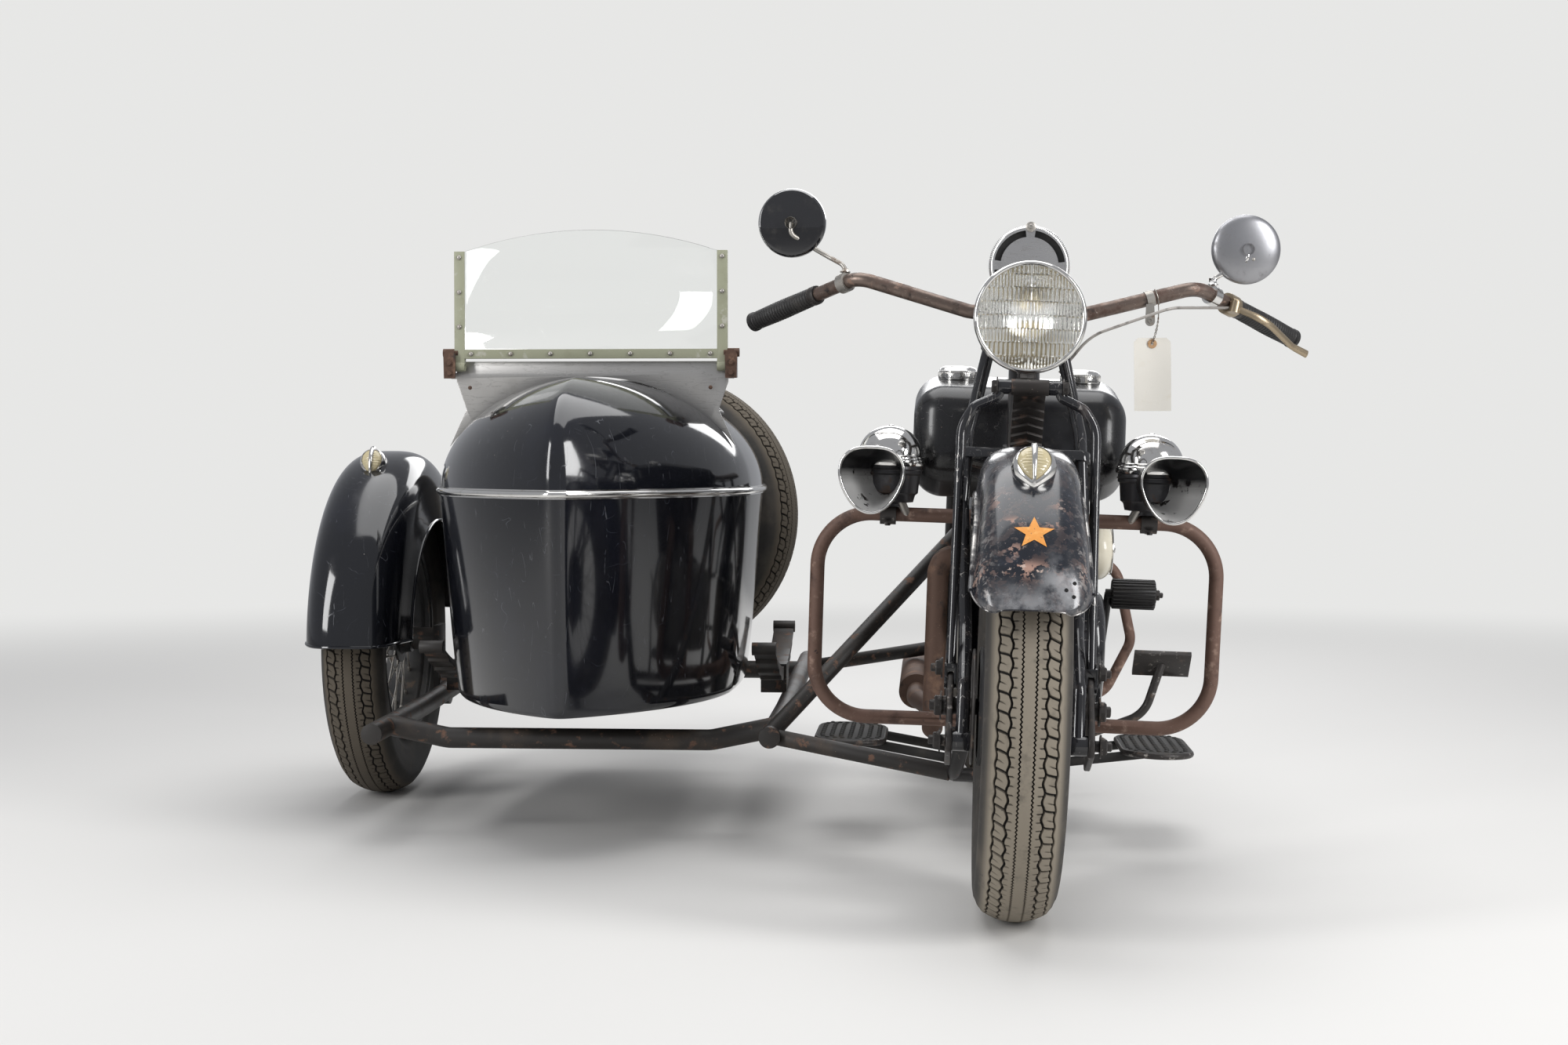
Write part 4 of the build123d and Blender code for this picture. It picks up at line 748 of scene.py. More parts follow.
# The deck is an ellipse across the body, as wide as the body is there.
deck_half = body_half - 0.009 * np.clip((plan[:, 1] - widest_y) / 0.43, 0, 1) ** 2
edge_z = belt_z + (crown_z - belt_z) * np.sqrt(np.clip(1 - ((plan[:, 0] - body_x) / deck_half) ** 2, 0, 1))
coaming_hide = finish("coaming_hide", (0.02, 0.017, 0.015), 0.5, bump=0.0006, slot="leather", layers=[
    patches(26, 0.45, 0.2, (0.06, 0.045, 0.034), 0.7),
    patches(190, 0.45, 0.2, height=-0.6),
    scratches(60, 0.4, 0.01, (0.11, 0.085, 0.06), height=-0.5)])
sidecar("cockpit_coaming", [sweep(np.column_stack([plan, edge_z]), 6.5, 12, closed=True)], coaming_hide)
old_chrome = finish("old_chrome", (0.74, 0.73, 0.71), 0.1, metallic=1, bump=0.0003, slot="chrome", layers=[
    patches(30, 0.42, 0.25, (0.38, 0.35, 0.31), 0.32, strength=0.8),
    scratches(90, 0.5, 0.008, (0.3, 0.27, 0.24), 0.4, strength=0.6),
    specks(520, 0.68, (0.12, 0.085, 0.06), 0.8, 0.2, strength=0.9, Softness=0.06)])
belt = boat_outline(body_half + 0.0005, nose_y - 0.0006, tail_y + 0.0005, 0.2155)[0]
ahead = np.roll(belt, -1, 0) - np.roll(belt, 1, 0)
outward = np.stack([ahead[:, 1], -ahead[:, 0]], -1)
outward /= np.linalg.norm(outward, axis=1)[:, None]
bead_section = [(0, -8.5), (1.8, -8.5)]
bead_section += [(1.8 + 6.2 * cos(t), 6.2 * sin(t)) for t in np.linspace(-pi / 2, pi / 2, 9)]
bead_section += [(1.8, 8.5), (0, 8.5)]
bead_rows = [np.column_stack([belt + outward * out * mm + in_place, np.full(len(belt), belt_z + rise * mm)])
             for out, rise in bead_section]
sidecar("belt_bead", [grid(bead_rows, around=True, along=True)], old_chrome, replaces="belt_moulding",
        angle=50)

# Sidecar seat
# A buttoned-down seat cushion and a separate backrest, horsehair pads in brown-black hide with sewn
# channels and corded edges, lying in the hull on a plywood base over a ribbed mat.
seat_hide = finish("seat_hide", (0.045, 0.028, 0.019), 0.48, bump=0.0007, Coat_Weight=0.12, slot="leather",
                   layers=[
    patches(14, 0.5, 0.3, (0.105, 0.066, 0.042), 0.62, strength=0.8),
    patches(230, 0.46, 0.2, height=-0.8),
    scratches(52, 0.5, 0.008, (0.15, 0.105, 0.07), 0.7, height=-0.7, strength=0.8)])
pad_cell = 0.006
pad_travel = 0.016
pad_margin = 0.013
seam_width = 0.008
seam_depth = 0.010


def vertex_places(made):
    points = np.zeros(len(made.data.vertices) * 3)
    made.data.vertices.foreach_get("co", points)
    return points.reshape(-1, 3)


def swollen(made):
    """A block remeshed to even cells and swollen by cloth pressure, each point held to a short travel."""
    cells = made.modifiers.new("cells", "REMESH")
    cells.mode = "VOXEL"
    cells.voxel_size = pad_cell
    settle(made)
    rest = vertex_places(made)
    cloth = made.modifiers.new("hide", "CLOTH")
    cloth.settings.use_pressure = True
    cloth.settings.uniform_pressure_force = 4.0
    cloth.settings.effector_weights.gravity = 0.0
    for step in range(1, 21):
        bpy.context.scene.frame_set(step)
    settle(made)
    move = vertex_places(made) - rest
    far = np.linalg.norm(move, axis=1)
    share = np.minimum(far, pad_travel) / np.maximum(far, 1e-9)
    made.data.vertices.foreach_set("co", (rest + move * share[:, None]).ravel())
    made.data.update()
    bpy.context.scene.frame_set(1)


def pad(name, half, corner, replaces, put, seams):
    """A padded piece: a block with rounded edges a little under size, swollen, then pressed in along each
    seam by its depth times exp(-(distance / width)^2), and kept inside its own space."""
    half = np.array(half)
    inner = half - pad_margin
    shell = bmesh.new()
    bmesh.ops.create_cube(shell, size=2)
    bmesh.ops.scale(shell, vec=tuple(inner), verts=shell.verts)
    bmesh.ops.bevel(shell, geom=shell.edges[:], offset=corner, segments=4, profile=0.5, affect="EDGES")
    mesh = bpy.data.meshes.new(name)
    shell.to_mesh(mesh)
    shell.free()
    made = show(bpy.data.objects.new(name, mesh))
    swollen(made)
    points = vertex_places(made)
    top = np.clip(points[:, 2] / inner[2], 0, 1)
    for at in seams:
        points[:, 2] -= seam_depth * top * np.exp(-((points[:, 0] - at) / seam_width) ** 2)
    made.data.vertices.foreach_set("co", put(np.clip(points, -half, half)).ravel())
    made.data.materials.clear()
    made.data.materials.append(seat_hide)
    soft = made.modifiers.new("soft", "SUBSURF")
    soft.levels = 1
    soft.render_levels = 1
    settle(made)
    made.data.set_sharp_from_angle(angle=radians(180))
    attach(made, "chassis")
    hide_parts(replaces)


def on_seat(points):
    return level(points + vec(body_x, 1.195, 0.452))


back_lean = radians(12)
back_middle = np.mean(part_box("sidecar_backrest"), axis=0)


def on_backrest(points):
    """A pad drawn lying down, stood up and leaned back against the hull's rear."""
    return back_middle + points @ np.array([[1.0, 0, 0], [0, sin(back_lean), cos(back_lean)],
                                            [0, -cos(back_lean), sin(back_lean)]])


pad("sidecar_cushion_pad", (0.230, 0.185, 0.080), 0.030, "sidecar_cushion", on_seat,
    (-0.135, -0.045, 0.045, 0.135))
pad("sidecar_backrest_pad", (0.198, 0.140, 0.044), 0.024, "sidecar_backrest", on_backrest,
    (-0.120, -0.040, 0.040, 0.120))
mat_rubber = finish("mat_rubber", (0.016, 0.015, 0.014), 0.75, bump=0.0005, slot="rubber", layers=[
    patches(12, 0.5, 0.3, (0.085, 0.07, 0.052), 0.9, strength=0.7),
    patches(240, 0.5, 0.3, height=0.5)])
mat_x = body_x + np.linspace(-0.200, 0.200, 161)
mat_ribs = 0.0025 * (np.arange(161) % 4 < 2)
mat_under = np.full(161, hull_bottom_z + 0.0045)
mat_over = hull_bottom_z + 0.007 + mat_ribs
mat_front = 0.620
mat_middle = 1.050
mat_rear = 1.480
mat_rows = [np.column_stack([mat_x, np.full(161, y), z]) for y, z in (
    (mat_front, mat_under), (mat_front, mat_over), (mat_middle, mat_over), (mat_rear, mat_over),
    (mat_rear, mat_under))]
sidecar("sidecar_mat", [grid(mat_rows, along=True)], mat_rubber, closed=False)


# Windscreen
# A bare aluminium apron stands across the deck on rusted hinge brackets. Two olive-painted posts turn on it
# and carry an arched pane of clear glass, held along its bottom by a riveted rail.


def rivet(centre, axis, radius, rise):
    """A dome-headed rivet: half a flattened ball on a short straight skirt."""
    turn = np.linspace(0, pi / 2, 6)
    return lathe([(0, radius)] + [(rise * sin(t), radius * cos(t) + 0.001) for t in turn], centre, axis, 14)


def plate(line, near, far):
    """A flat plate: a closed outline of (x, z) points between two depths."""
    line = np.asarray(line, float)
    return capped([np.column_stack([line[:, 0], np.full(len(line), y), line[:, 1]]) for y in (near, far)])


def dressed(material, soften, *nodes, body="chassis", angle=38):
    """CAD nodes that keep their shape: a copy of each one's mesh with doubled points merged, its edges
    softened by a small bevel, and its finish."""
    for node in nodes:
        mesh = frame["nodes"][node].data.copy()
        mesh.materials.clear()
        shell = bmesh.new()
        shell.from_mesh(mesh)
        bmesh.ops.remove_doubles(shell, verts=shell.verts, dist=2e-5)
        bmesh.ops.dissolve_limit(shell, angle_limit=radians(1.0), verts=shell.verts, edges=shell.edges)
        shell.to_mesh(mesh)
        shell.free()
        mesh.materials.append(material)
        made = show(bpy.data.objects.new(node + "_dressed", mesh))
        if soften:
            edges = made.modifiers.new("edges", "BEVEL")
            edges.width = soften * mm
            edges.segments = 2
            edges.limit_method = "ANGLE"
            edges.angle_limit = radians(32)
            edges.use_clamp_overlap = True
        settle(made)
        made.data.set_sharp_from_angle(angle=radians(angle))
        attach(made, body)
        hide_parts(node)


bare_aluminium = finish("bare_aluminium", (0.5, 0.49, 0.475), 0.34, metallic=0.85, bump=0.0003, layers=[
    scratches(120, 0.75, 0.03, (0.36, 0.35, 0.34), 0.5, strength=0.8, Stretch=(0.12, 1, 1), height=-0.3),
    patches(11, 0.42, 0.3, (0.25, 0.235, 0.215), 0.6, 0.5, strength=0.75),
    specks(210, 0.66, (0.13, 0.1, 0.08), 0.8, 0.2),
    patches(6, 0.5, 0.5, height=0.3)])
olive_paint = finish("olive_paint", (0.3, 0.305, 0.215), 0.5, bump=0.0004, layers=[
    patches(16, 0.5, 0.3, (0.22, 0.225, 0.15), 0.62, strength=0.8),
    patches(44, 0.32, 0.1, (0.44, 0.43, 0.37), 0.6, strength=0.7),
    specks(120, 0.66, (0.2, 0.12, 0.075), 0.85, height=-0.5)])
screen_glass = finish("screen_glass", (0.97, 0.985, 0.975), 0.02, Transmission_Weight=1, IOR=1.46, layers=[
    patches(9, 0.4, 0.4, roughness=0.1, strength=0.5),
    scratches(24, 0.4, 0.003, roughness=0.35)])
rusty_iron = finish("rusty_iron", (0.105, 0.06, 0.042), 0.72, metallic=0.35, bump=0.0006, slot="steel",
                    layers=[
    patches(42, 0.45, 0.15, (0.2, 0.115, 0.075), 0.85, 0.05),
    patches(26, 0.42, 0.15, (0.035, 0.026, 0.022), 0.6),
    specks(260, 0.7, (0.3, 0.22, 0.17), 0.8, height=-0.6)])
dressed(bare_aluminium, 0.8, "windscreen_apron")
dressed(olive_paint, 1.0, "windscreen_frame", body="windscreen")
dressed(screen_glass, 0.8, "windscreen_glass", body="windscreen")
screen_y = 0.782
post_x = 0.258
bracket_x = 0.276
rail_z = 0.932
forward = (0, -1, 0)
apron_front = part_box("windscreen_apron")[0][1] - ground_point[1]
frame_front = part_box("windscreen_frame")[0][1] - ground_point[1]
sidecar("apron_rivets", [rivet((body_x + side * 0.236, apron_front + 0.0005, 0.866), forward, 4.0, 2.2)
                         for side in (-1, 1)], rusty_iron)
brackets = []
for side in (-1, 1):
    x = body_x + side * bracket_x
    line = [(x + across, z) for across, z in ((-0.011, 0.884), (0.011, 0.884), (0.012, 0.930), (0.006, 0.940),
                                              (-0.006, 0.940), (-0.012, 0.930))]
    brackets += [plate(line, apron_front - 0.003, apron_front + 0.0005),
                 sleeve(-15, 15, 0.1, 8.5, (x, screen_y, 0.934), (1, 0, 0), 28, closed=False)]
    for z in (0.894, 0.914):
        brackets += hexagon((x, apron_front - 0.003, z), forward, 9, 4.5)
sidecar("hinge_brackets", brackets, rusty_iron)
rivet_places = [(x, rail_z) for x in np.linspace(-0.235, 0.235, 7)]
rivet_places += [(side * post_x, z) for side in (-1, 1) for z in np.linspace(0.985, 1.120, 3)]
screen_rivets = [rivet((body_x + x, frame_front + 0.0008, z), forward, 4.6, 2.4) for x, z in rivet_places]
sidecar("screen_rivets", screen_rivets, dull_plate, "windscreen")

# Sidecar wing
# A deep pressed steel mudguard over the sidecar wheel, enamelled like the body, its lower edge rolled over
# a wire, with a shield-shaped marker lamp on its crown.
wing_x = -1.308
wing_outer = 0.409
wing_drop = 0.150
wing_half = 0.098
guard_wall = 1.8


def guard_points(centre, outer, drop, half, first, last, rows, columns, flare=0.0, power=3.0, ends=0.0,
                 dense=1.0):
    """Points of a mudguard: along it an angle from the front over the wheel, across it the upper half of a
    superellipse |x/h|^n + |r/d|^n = 1, with the half width and drop given along it. The sides flare out, and
    the ends' corners are drawn back by an angle."""
    share = np.linspace(0, 1, rows)[:, None] ** dense
    turn = np.linspace(-1, 1, columns)[None, :] * pi / 2
    half = half(share) if callable(half) else half
    drop = drop(share) if callable(drop) else drop
    across = half * np.sign(turn) * np.abs(np.sin(turn)) ** (2 / power)
    height = np.abs(np.cos(turn)) ** (2 / power)
    radius = outer - drop * (1 - height)
    across = across + np.sign(turn) * flare * np.clip(1 - height * 2.2, 0, 1) ** 2
    near_ends = np.clip(1 - share * 12, 0, 1) - np.clip(1 - (1 - share) * 12, 0, 1)
    angle = first + (last - first) * share + ends * (np.abs(across) / np.max(np.abs(across))) ** 6 * near_ends
    x, y, z = centre
    return np.stack([x + across + 0 * angle, y - radius * np.cos(angle), z + radius * np.sin(angle)], -1)


def guard(name, points, material, body, place, replaces, attributes=None, bead=3.2, bare=0, bead_paint=None):
    """A mudguard's sheet with its wall, and the rolled bead round its edge: round all of it, or on its two
    sides from a row on, with a thin hem round the bare lip before it."""
    sheet = piece(name + "_sheet", [grid(points)], material, body, place, replaces, closed=False,
                  attributes=attributes, angle=60)
    inside = sheet.data.polygons[len(sheet.data.polygons) // 2]
    middle = place(np.array([[points[..., 0].mean(), *points[len(points) // 2, 0, 1:]]]))[0]
    if inside.normal.dot(Vector(inside.center) - Vector(middle)) < 0:
        sheet.data.flip_normals()
    thicken(sheet, guard_wall)
    if bare:
        hem = np.concatenate([points[bare:0:-1, 0], points[0], points[1:bare + 1, -1]])
        rims = [sweep(points[bare:, 0], bead, 10), sweep(points[bare:, -1], bead, 10), sweep(hem, 1.3, 6)]
    else:
        edge = np.concatenate([points[:, 0], points[-1, 1:], points[-2::-1, -1], points[0, -2:0:-1]])
        rims = [sweep(edge, bead, 8, closed=True)]
    piece(name + "_bead", rims, bead_paint or material, body, place)


wing_points = guard_points((wing_x, side_wheel_centre[1], tyre_radius), wing_outer, wing_drop, wing_half,
                           radians(2), radians(174), 150, 61, flare=0.006, power=3.2, ends=radians(2))
guard("sidecar_wing", wing_points, body_enamel, "chassis", level, "sidecar_fender")

# Marker lamps
# Shield-shaped lamps seated on the crowns of the front mudguard and of the wing: a chrome bezel with a
# raised rib down its middle, and a ribbed cream lens.
lamp_lens = finish("lamp_lens", (0.72, 0.62, 0.38), 0.16, bump=0.0002, Transmission_Weight=0.25,
                   Coat_Weight=0.6, slot="chrome", layers=[
    patches(60, 0.45, 0.3, (0.56, 0.46, 0.26), 0.3, strength=0.7)])
# How far each row of the bezel stands out (share of the depth), its size and its lift (share of the height).
bezel_rows = [(0, 0.985, 0), (0.12, 1, 0), (0.24, 0.995, 0), (0.40, 0.97, 0), (0.54, 0.92, 0.015),
              (0.64, 0.86, 0.03), (0.70, 0.78, 0.05), (0.69, 0.755, 0.055), (0.62, 0.745, 0.055)]
lamp_foot_depth = 0.036
lens_lift = 0.055
lens_rib = 0.0052


def shield_lamp(name, foot, out_deg, width, height, depth, replaces, **where):
    """A lamp whose foot stands at a point and whose face looks out along an angle above the front: domed
    rows shrink towards the middle as a quarter ellipse, and the lens lies a little below the bezel. The
    outline is an arc above and a point below, each side the same."""
    out = vec(0, -cos(radians(out_deg)), sin(radians(out_deg)))
    up = vec(0, sin(radians(out_deg)), cos(radians(out_deg)))
    turn = np.linspace(0, pi, 17)
    drop = np.linspace(0, 1, 17)[1:-1]
    top = np.stack([width / 2 * np.cos(turn), height * (0.10 + 0.40 * np.sin(turn))], -1)
    side = np.stack([-width / 2 * np.cos(drop * pi / 2) ** 0.8, height * (0.10 - 0.60 * drop ** 1.05)], -1)
    line = np.concatenate([top, side, [[0, -height / 2]], side[::-1] * np.array([-1, 1])])

    def row(size, rise, lift, ribs=0.0):
        flat = line * size + vec(0, lift * height)
        rise = rise + ribs * np.sin(flat[:, 1:] * 2 * pi / lens_rib)
        return foot + flat[:, :1] * vec(1, 0, 0) + flat[:, 1:] * up + rise * out

    rows = [row(0.97, -lamp_foot_depth, 0)]
    rows += [row(size, depth * rise, lift) for rise, size, lift in bezel_rows]
    piece(name + "_bezel", [grid(rows, around=True)], old_chrome, replaces=replaces, closed=False, **where)
    lens = []
    for share in np.linspace(0, 1, 25):
        bulge = sqrt(max(0.0, 1 - (1 - share) ** 2))
        lens.append(row(0.75 * (1 - share * 0.999), depth * (0.62 + 0.30 * bulge), lens_lift, 0.0006))
    piece(name + "_lens", [grid(lens, around=True)], lamp_lens, closed=False, **where)
    along = np.linspace(-0.40, 0.50, 25)
    crown = depth * (0.30 + 0.66 * np.sqrt(np.clip(1 - (along / 0.51) ** 2, 0, 1)))
    rib = foot + along[:, None] * height * up + crown[:, None] * out
    piece(name + "_rib", [sweep(rib, np.interp(along, [-0.40, 0, 0.5], [2.2, 4.2, 5.6]), 12)], old_chrome,
          **where)


shield_lamp("front_marker", vec(0, -0.176, 0.708), 30, 0.068, 0.078, 0.036, "front_fender_lamp",
            body="steering")
wing_lamp = np.mean(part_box("sidecar_fender_lamp"), axis=0) - ground_point
shield_lamp("wing_marker", vec(wing_x, wing_lamp[1] + 0.010, wing_lamp[2] - 0.004), 18, 0.056, 0.072, 0.034,
            "sidecar_fender_lamp", place=level)

# Fork
# A leading-link fork: two rigid tubular legs from the steering crowns, two bright-worn rods that hang from a
# leaf spring's shackle bar, and short forged rockers that carry the axle. All black enamel, worn at edges.
steered = functools.partial(piece, body="steering")
rod_enamel = finish("rod_enamel", (0.014, 0.014, 0.016), 0.13, bump=0.0003, Coat_Weight=0.3, slot="steel",
                    layers=[
    patches(44, 0.4, 0.2, (0.055, 0.045, 0.042), 0.4, strength=0.8, Stretch=(1, 1, 0.3)),
    specks(150, 0.66, (0.34, 0.31, 0.28), 0.45, 0.8),
    scratches(60, 0.5, 0.01, (0.4, 0.38, 0.36), 0.35, 0.9, Stretch=(1, 1, 0.2))])
worn_forging = finish("worn_forging", (0.04, 0.036, 0.034), 0.42, metallic=0.4, bump=0.0005, slot="steel",
                      layers=[
    patches(40, 0.42, 0.18, (0.15, 0.11, 0.085), 0.7, 0.3),
    patches(75, 0.32, 0.1, (0.3, 0.28, 0.26), 0.4, 0.85),
    patches(150, 0.5, 0.4, height=0.6)])
spring_steel = finish("spring_steel", (0.03, 0.026, 0.024), 0.5, metallic=0.5, bump=0.0004, layers=[
    patches(30, 0.44, 0.15, (0.12, 0.07, 0.05), 0.75, 0.1),
    specks(200, 0.68, (0.28, 0.24, 0.21), 0.5, 0.7)])
dressed(rod_enamel, 1.5, "fork", body="steering")
dressed(worn_forging, 2.5, "rockers", body="steering")
dressed(spring_steel, 0.8, "leaf_spring", body="steering")
dressed(rod_enamel, 1.0, "spring_rods", body="steering")
rocker_outside = 0.124
fork_nuts = []
for side in (-1, 1):
    way = (side, 0, 0)
    for y, z, size in ((-0.050, 0.285, 24), (0.0, tyre_radius, 30), (0.020, 0.392, 22)):
        spot = (side * rocker_outside, y, z)
        stud = [(11, size * 0.30), (18, size * 0.30), (19.5, size * 0.22), (19.5, 0.1)]
        fork_nuts += hexagon(spot, way, size, 12) + [lathe(stud, spot, way, 20)]
        fork_nuts.append(rivet(spot + vec(0, -0.022, 0.014), way, 4, 7))
    fork_nuts += hexagon((side * 0.052, 0.078, 0.845), way, 20, 10)
steered("fork_nuts", fork_nuts, worn_forging)

# Front mudguard
# A deeply valanced pressed guard in blue-black enamel, scuffed to its pinkish primer round a small painted
# star, with a rolled bright-worn edge and a polished lower lip.
scuffed_enamel = finish("scuffed_enamel", (0.0085, 0.0105, 0.0165), 0.2, bump=0.0004, Coat_Weight=0.25,
                        slot="black_paint", layers=[
    patches(22, 0.44, 0.25, (0.026, 0.032, 0.048), 0.34, strength=0.7),
    patches(60, 0.22, 0.1, (0.11, 0.115, 0.125), 0.45, strength=0.7),
    scratches(34, 0.34, 0.006, (0.2, 0.2, 0.22), 0.5, strength=0.7),
    scratches(70, 0.26, 0.01, (0.3, 0.25, 0.23), 0.5, strength=0.8),
    patches(30, 0.8, 0.3, (0.46, 0.46, 0.47), 0.36, 0.8, where="lip"),
    patches(58, 0.46, 0.045, (0.36, 0.215, 0.165), 0.72, where="primer"),
    patches(110, 0.34, 0.05, (0.52, 0.4, 0.34), 0.75, where="primer"),
    patches(80, 0.5, 0.1, (0.3, 0.28, 0.27), 0.4, 0.7, where="edge"),
    specks(120, 0.66, (0.36, 0.27, 0.22), 0.7, height=-0.4)])
bead_enamel = finish("bead_enamel", (0.02, 0.02, 0.024), 0.2, bump=0.0003, slot="black_paint", layers=[
    patches(26, 0.56, 0.12, (0.46, 0.44, 0.42), 0.28, 0.9),
    specks(200, 0.7, (0.16, 0.09, 0.06), 0.8)])
star_paint = finish("star_paint", (0.72, 0.29, 0.05), 0.42, bump=0.0002, slot="black_paint", layers=[
    patches(90, 0.5, 0.2, (0.8, 0.42, 0.12), 0.5, strength=0.8),
    patches(150, 0.3, 0.08, (0.3, 0.12, 0.045), 0.6),
    scratches(60, 0.36, 0.01, (0.1, 0.06, 0.05), 0.5)])
# Painted shade: near-black for the depth of the small holes in the front guard.
hole_painted_shade = finish("hole_painted_shade", (0.004, 0.004, 0.004), 0.9, slot="black_paint", layers=[
    patches(300, 0.4, 0.2, (0.03, 0.02, 0.015))])
guard_centre_z = tyre_radius + 0.044
guard_outer = 0.371
guard_first_deg = 21.5
guard_last_deg = 198
lip_dense = 1.35
bead_from_deg = 29.5
star_deg = 41.3
star_size = 0.031
star_waist = 0.42


def guard_degrees(share):
    return guard_first_deg + (guard_last_deg - guard_first_deg) * share


def guard_half(share):
    """Half width along the guard: full at the top, swelling towards the front, and drawn in at the lip."""
    angle = guard_degrees(share)
    corner = np.clip((angle - guard_first_deg) / 10, 0, 1)
    return 0.079 + 0.007 * np.clip((62 - angle) / 32, 0, 1) - 0.036 * (1 - np.sqrt(1 - (1 - corner) ** 2))


def guard_drop(share):
    """Depth of the valance: 76 mm over most of the guard, running out to 16 mm at the lip."""
    return 0.076 - 0.060 * (1 - np.clip((guard_degrees(share) - guard_first_deg) / 15, 0, 1)) ** 1.3


front_points = guard_points((0, 0, guard_centre_z), guard_outer, guard_drop, guard_half,
                            radians(guard_first_deg), radians(guard_last_deg), 260, 73, flare=0.004,
                            dense=lip_dense)
front_x = front_points[..., 0]
front_deg = guard_degrees(np.linspace(0, 1, 260) ** lip_dense)[:, None] + 0 * front_x


def worn_at(*spots):
    """Soft-edged patches on the guard: each a strength, a place from the star (up, across) and sizes."""
    rise = np.radians(front_deg - star_deg) * guard_outer
    return sum(strength * np.exp(-((rise - up) / tall) ** 2 - ((front_x - across) / wide) ** 2)
               for strength, up, across, tall, wide in spots)


primer = worn_at((1.15, -0.064, -0.010, 0.012, 0.034), (0.9, 0.022, -0.030, 0.008, 0.016),
                 (0.8, 0.020, 0.026, 0.008, 0.012), (0.8, -0.030, -0.030, 0.010, 0.014),
                 (0.7, -0.060, 0.078, 0.020, 0.012), (0.7, -0.060, -0.080, 0.020, 0.012),
                 (0.6, 0.070, -0.048, 0.016, 0.012), (0.5, 0.060, 0.040, 0.012, 0.012))
lip = worn_at((1.0, -0.085, 0.036, 0.034, 0.022), (0.55, -0.120, 0, 0.016, 0.060),
              (0.35, -0.110, -0.030, 0.024, 0.030))
edge_wear = np.exp(-((np.abs(front_x) - 0.070) / 0.010) ** 2) * np.clip((64 - front_deg) / 34, 0.05, 0.8)
guard("front_mudguard", front_points, scuffed_enamel, "steering", leaning, "front_fender",
      attributes={"primer": np.clip(primer + 0.06, 0, 1), "lip": np.clip(lip, 0, 1), "edge": edge_wear},
      bead=3.6, bare=int(np.argmax(front_deg[:, 0] > bead_from_deg)), bead_paint=bead_enamel)


def on_guard(across, up):
    """A point of the front guard's outside, so far across it and so far up it from the star's middle."""
    angle = radians(star_deg) + up / guard_outer
    share = (np.degrees(angle) - guard_first_deg) / (guard_last_deg - guard_first_deg)
    side = np.clip(np.abs(across) / guard_half(share), 0, 1)
    radius = guard_outer - guard_drop(share) * (1 - (1 - side ** 3.0) ** (1 / 3.0)) + 0.0007
    return np.stack([across, -radius * np.cos(angle), guard_centre_z + radius * np.sin(angle)], -1)


star_turn = round_turn(100)
point = pi / 5
sector = np.abs((star_turn + point) % (2 * point) - point)
star_radius = star_size * star_waist * sin(point) / (np.sin(sector) + star_waist * np.sin(point - sector))
star_rows = [on_guard(star_radius * share * np.sin(star_turn), star_radius * share * np.cos(star_turn))
             for share in np.linspace(1, 0.002, 9)]
steered("guard_star", [grid(star_rows, around=True)], star_paint, closed=False, angle=180)
# Three holes in the guard, drawn as shallow cups painted near-black: painted shade for their depth.
holes = [lathe([(0, 3), (0.6, 2.6), (0.6, 0.1)], on_guard(across, up), (0.3, -0.85, 0.4), 14)
         for across, up in ((0.0590, -0.081), (0.0470, -0.094), (0.0580, -0.103))]
steered("guard_holes", holes, hole_painted_shade, closed=False)

# Headlamp
# A seven-inch lamp: a plated shell, a thin plated rim, a silvered reflector with its bulb shield, and a clear
# glass whose inside is moulded in bands of upright flutes.
headlamp_glass = finish("headlamp_glass", (0.98, 0.99, 0.99), 0.015, Transmission_Weight=1, IOR=1.48,
                        slot="clear_glass", layers=[
    patches(30, 0.3, 0.4, roughness=0.04, strength=0.5)])
silvered = finish("silvered", (0.8, 0.79, 0.77), 0.13, metallic=1, slot="chrome", layers=[
    patches(40, 0.42, 0.3, (0.52, 0.46, 0.38), 0.3, strength=0.8)])
bulb_brass = finish("bulb_brass", (0.62, 0.52, 0.34), 0.34, metallic=0.8, slot="chrome", layers=[
    patches(70, 0.45, 0.2, (0.42, 0.34, 0.22), 0.5)])
lamp = vec(0, 0.190, 0.965)
glass_radius = 0.0868
glass_bulge = 0.014
band_height = 0.0225
flute_reach = 0.0106
flute_depth = 0.0021
wide_flute = 0.0074
narrow_flute = 0.0052


def turned(profile, place, count, axis=forward, **more):
    return lathe(profile, lamp + vec(*place), axis, count, **more)


bucket = [(3, 91.5), (-2, 92.5), (-20, 91.5), (-45, 86), (-72, 75), (-96, 58), (-114, 38), (-125, 18),
          (-130, 0.1)]
steered("headlamp_bucket", [turned(bucket, (0, 0, 0), 96)], old_chrome, replaces="headlamp_shell",
        closed=False)
rim_profile = [(9.1 * cos(t), 89.5 + 4.8 * sin(t)) for t in np.linspace(-0.9, pi + 0.6, 15)]
steered("headlamp_rim", [turned(rim_profile + [(-14, 86.2), (-14, 93.8)], (0, 0, 0), 144, closed=True)],
        old_chrome)
glass_share = np.linspace(1, 0, 80)[:, None]
glass_x = glass_radius * glass_share * np.sin(round_turn(300))
glass_up = glass_radius * glass_share * np.cos(round_turn(300))
band = np.floor((glass_up + glass_radius) / band_height)
in_band = np.abs(glass_up - (band + 0.5) * band_height + glass_radius) < flute_reach
flute_width = np.where(band % 2 == 0, narrow_flute, wide_flute)
flute = flute_depth * np.abs(np.sin(pi * glass_x / flute_width)) * np.where(in_band, 1, 0.15)
dome = glass_bulge * (1 - glass_share ** 2) + 0 * glass_x
outside = lamp + np.stack([glass_x, -0.001 - dome, glass_up], -1)
inside = lamp + np.stack([glass_x, 0.003 - dome + flute, glass_up], -1)[::-1]
steered("headlamp_glass", [grid(np.concatenate([outside, inside]), around=True, along=True)], headlamp_glass,
        replaces="headlamp_lens", angle=60)
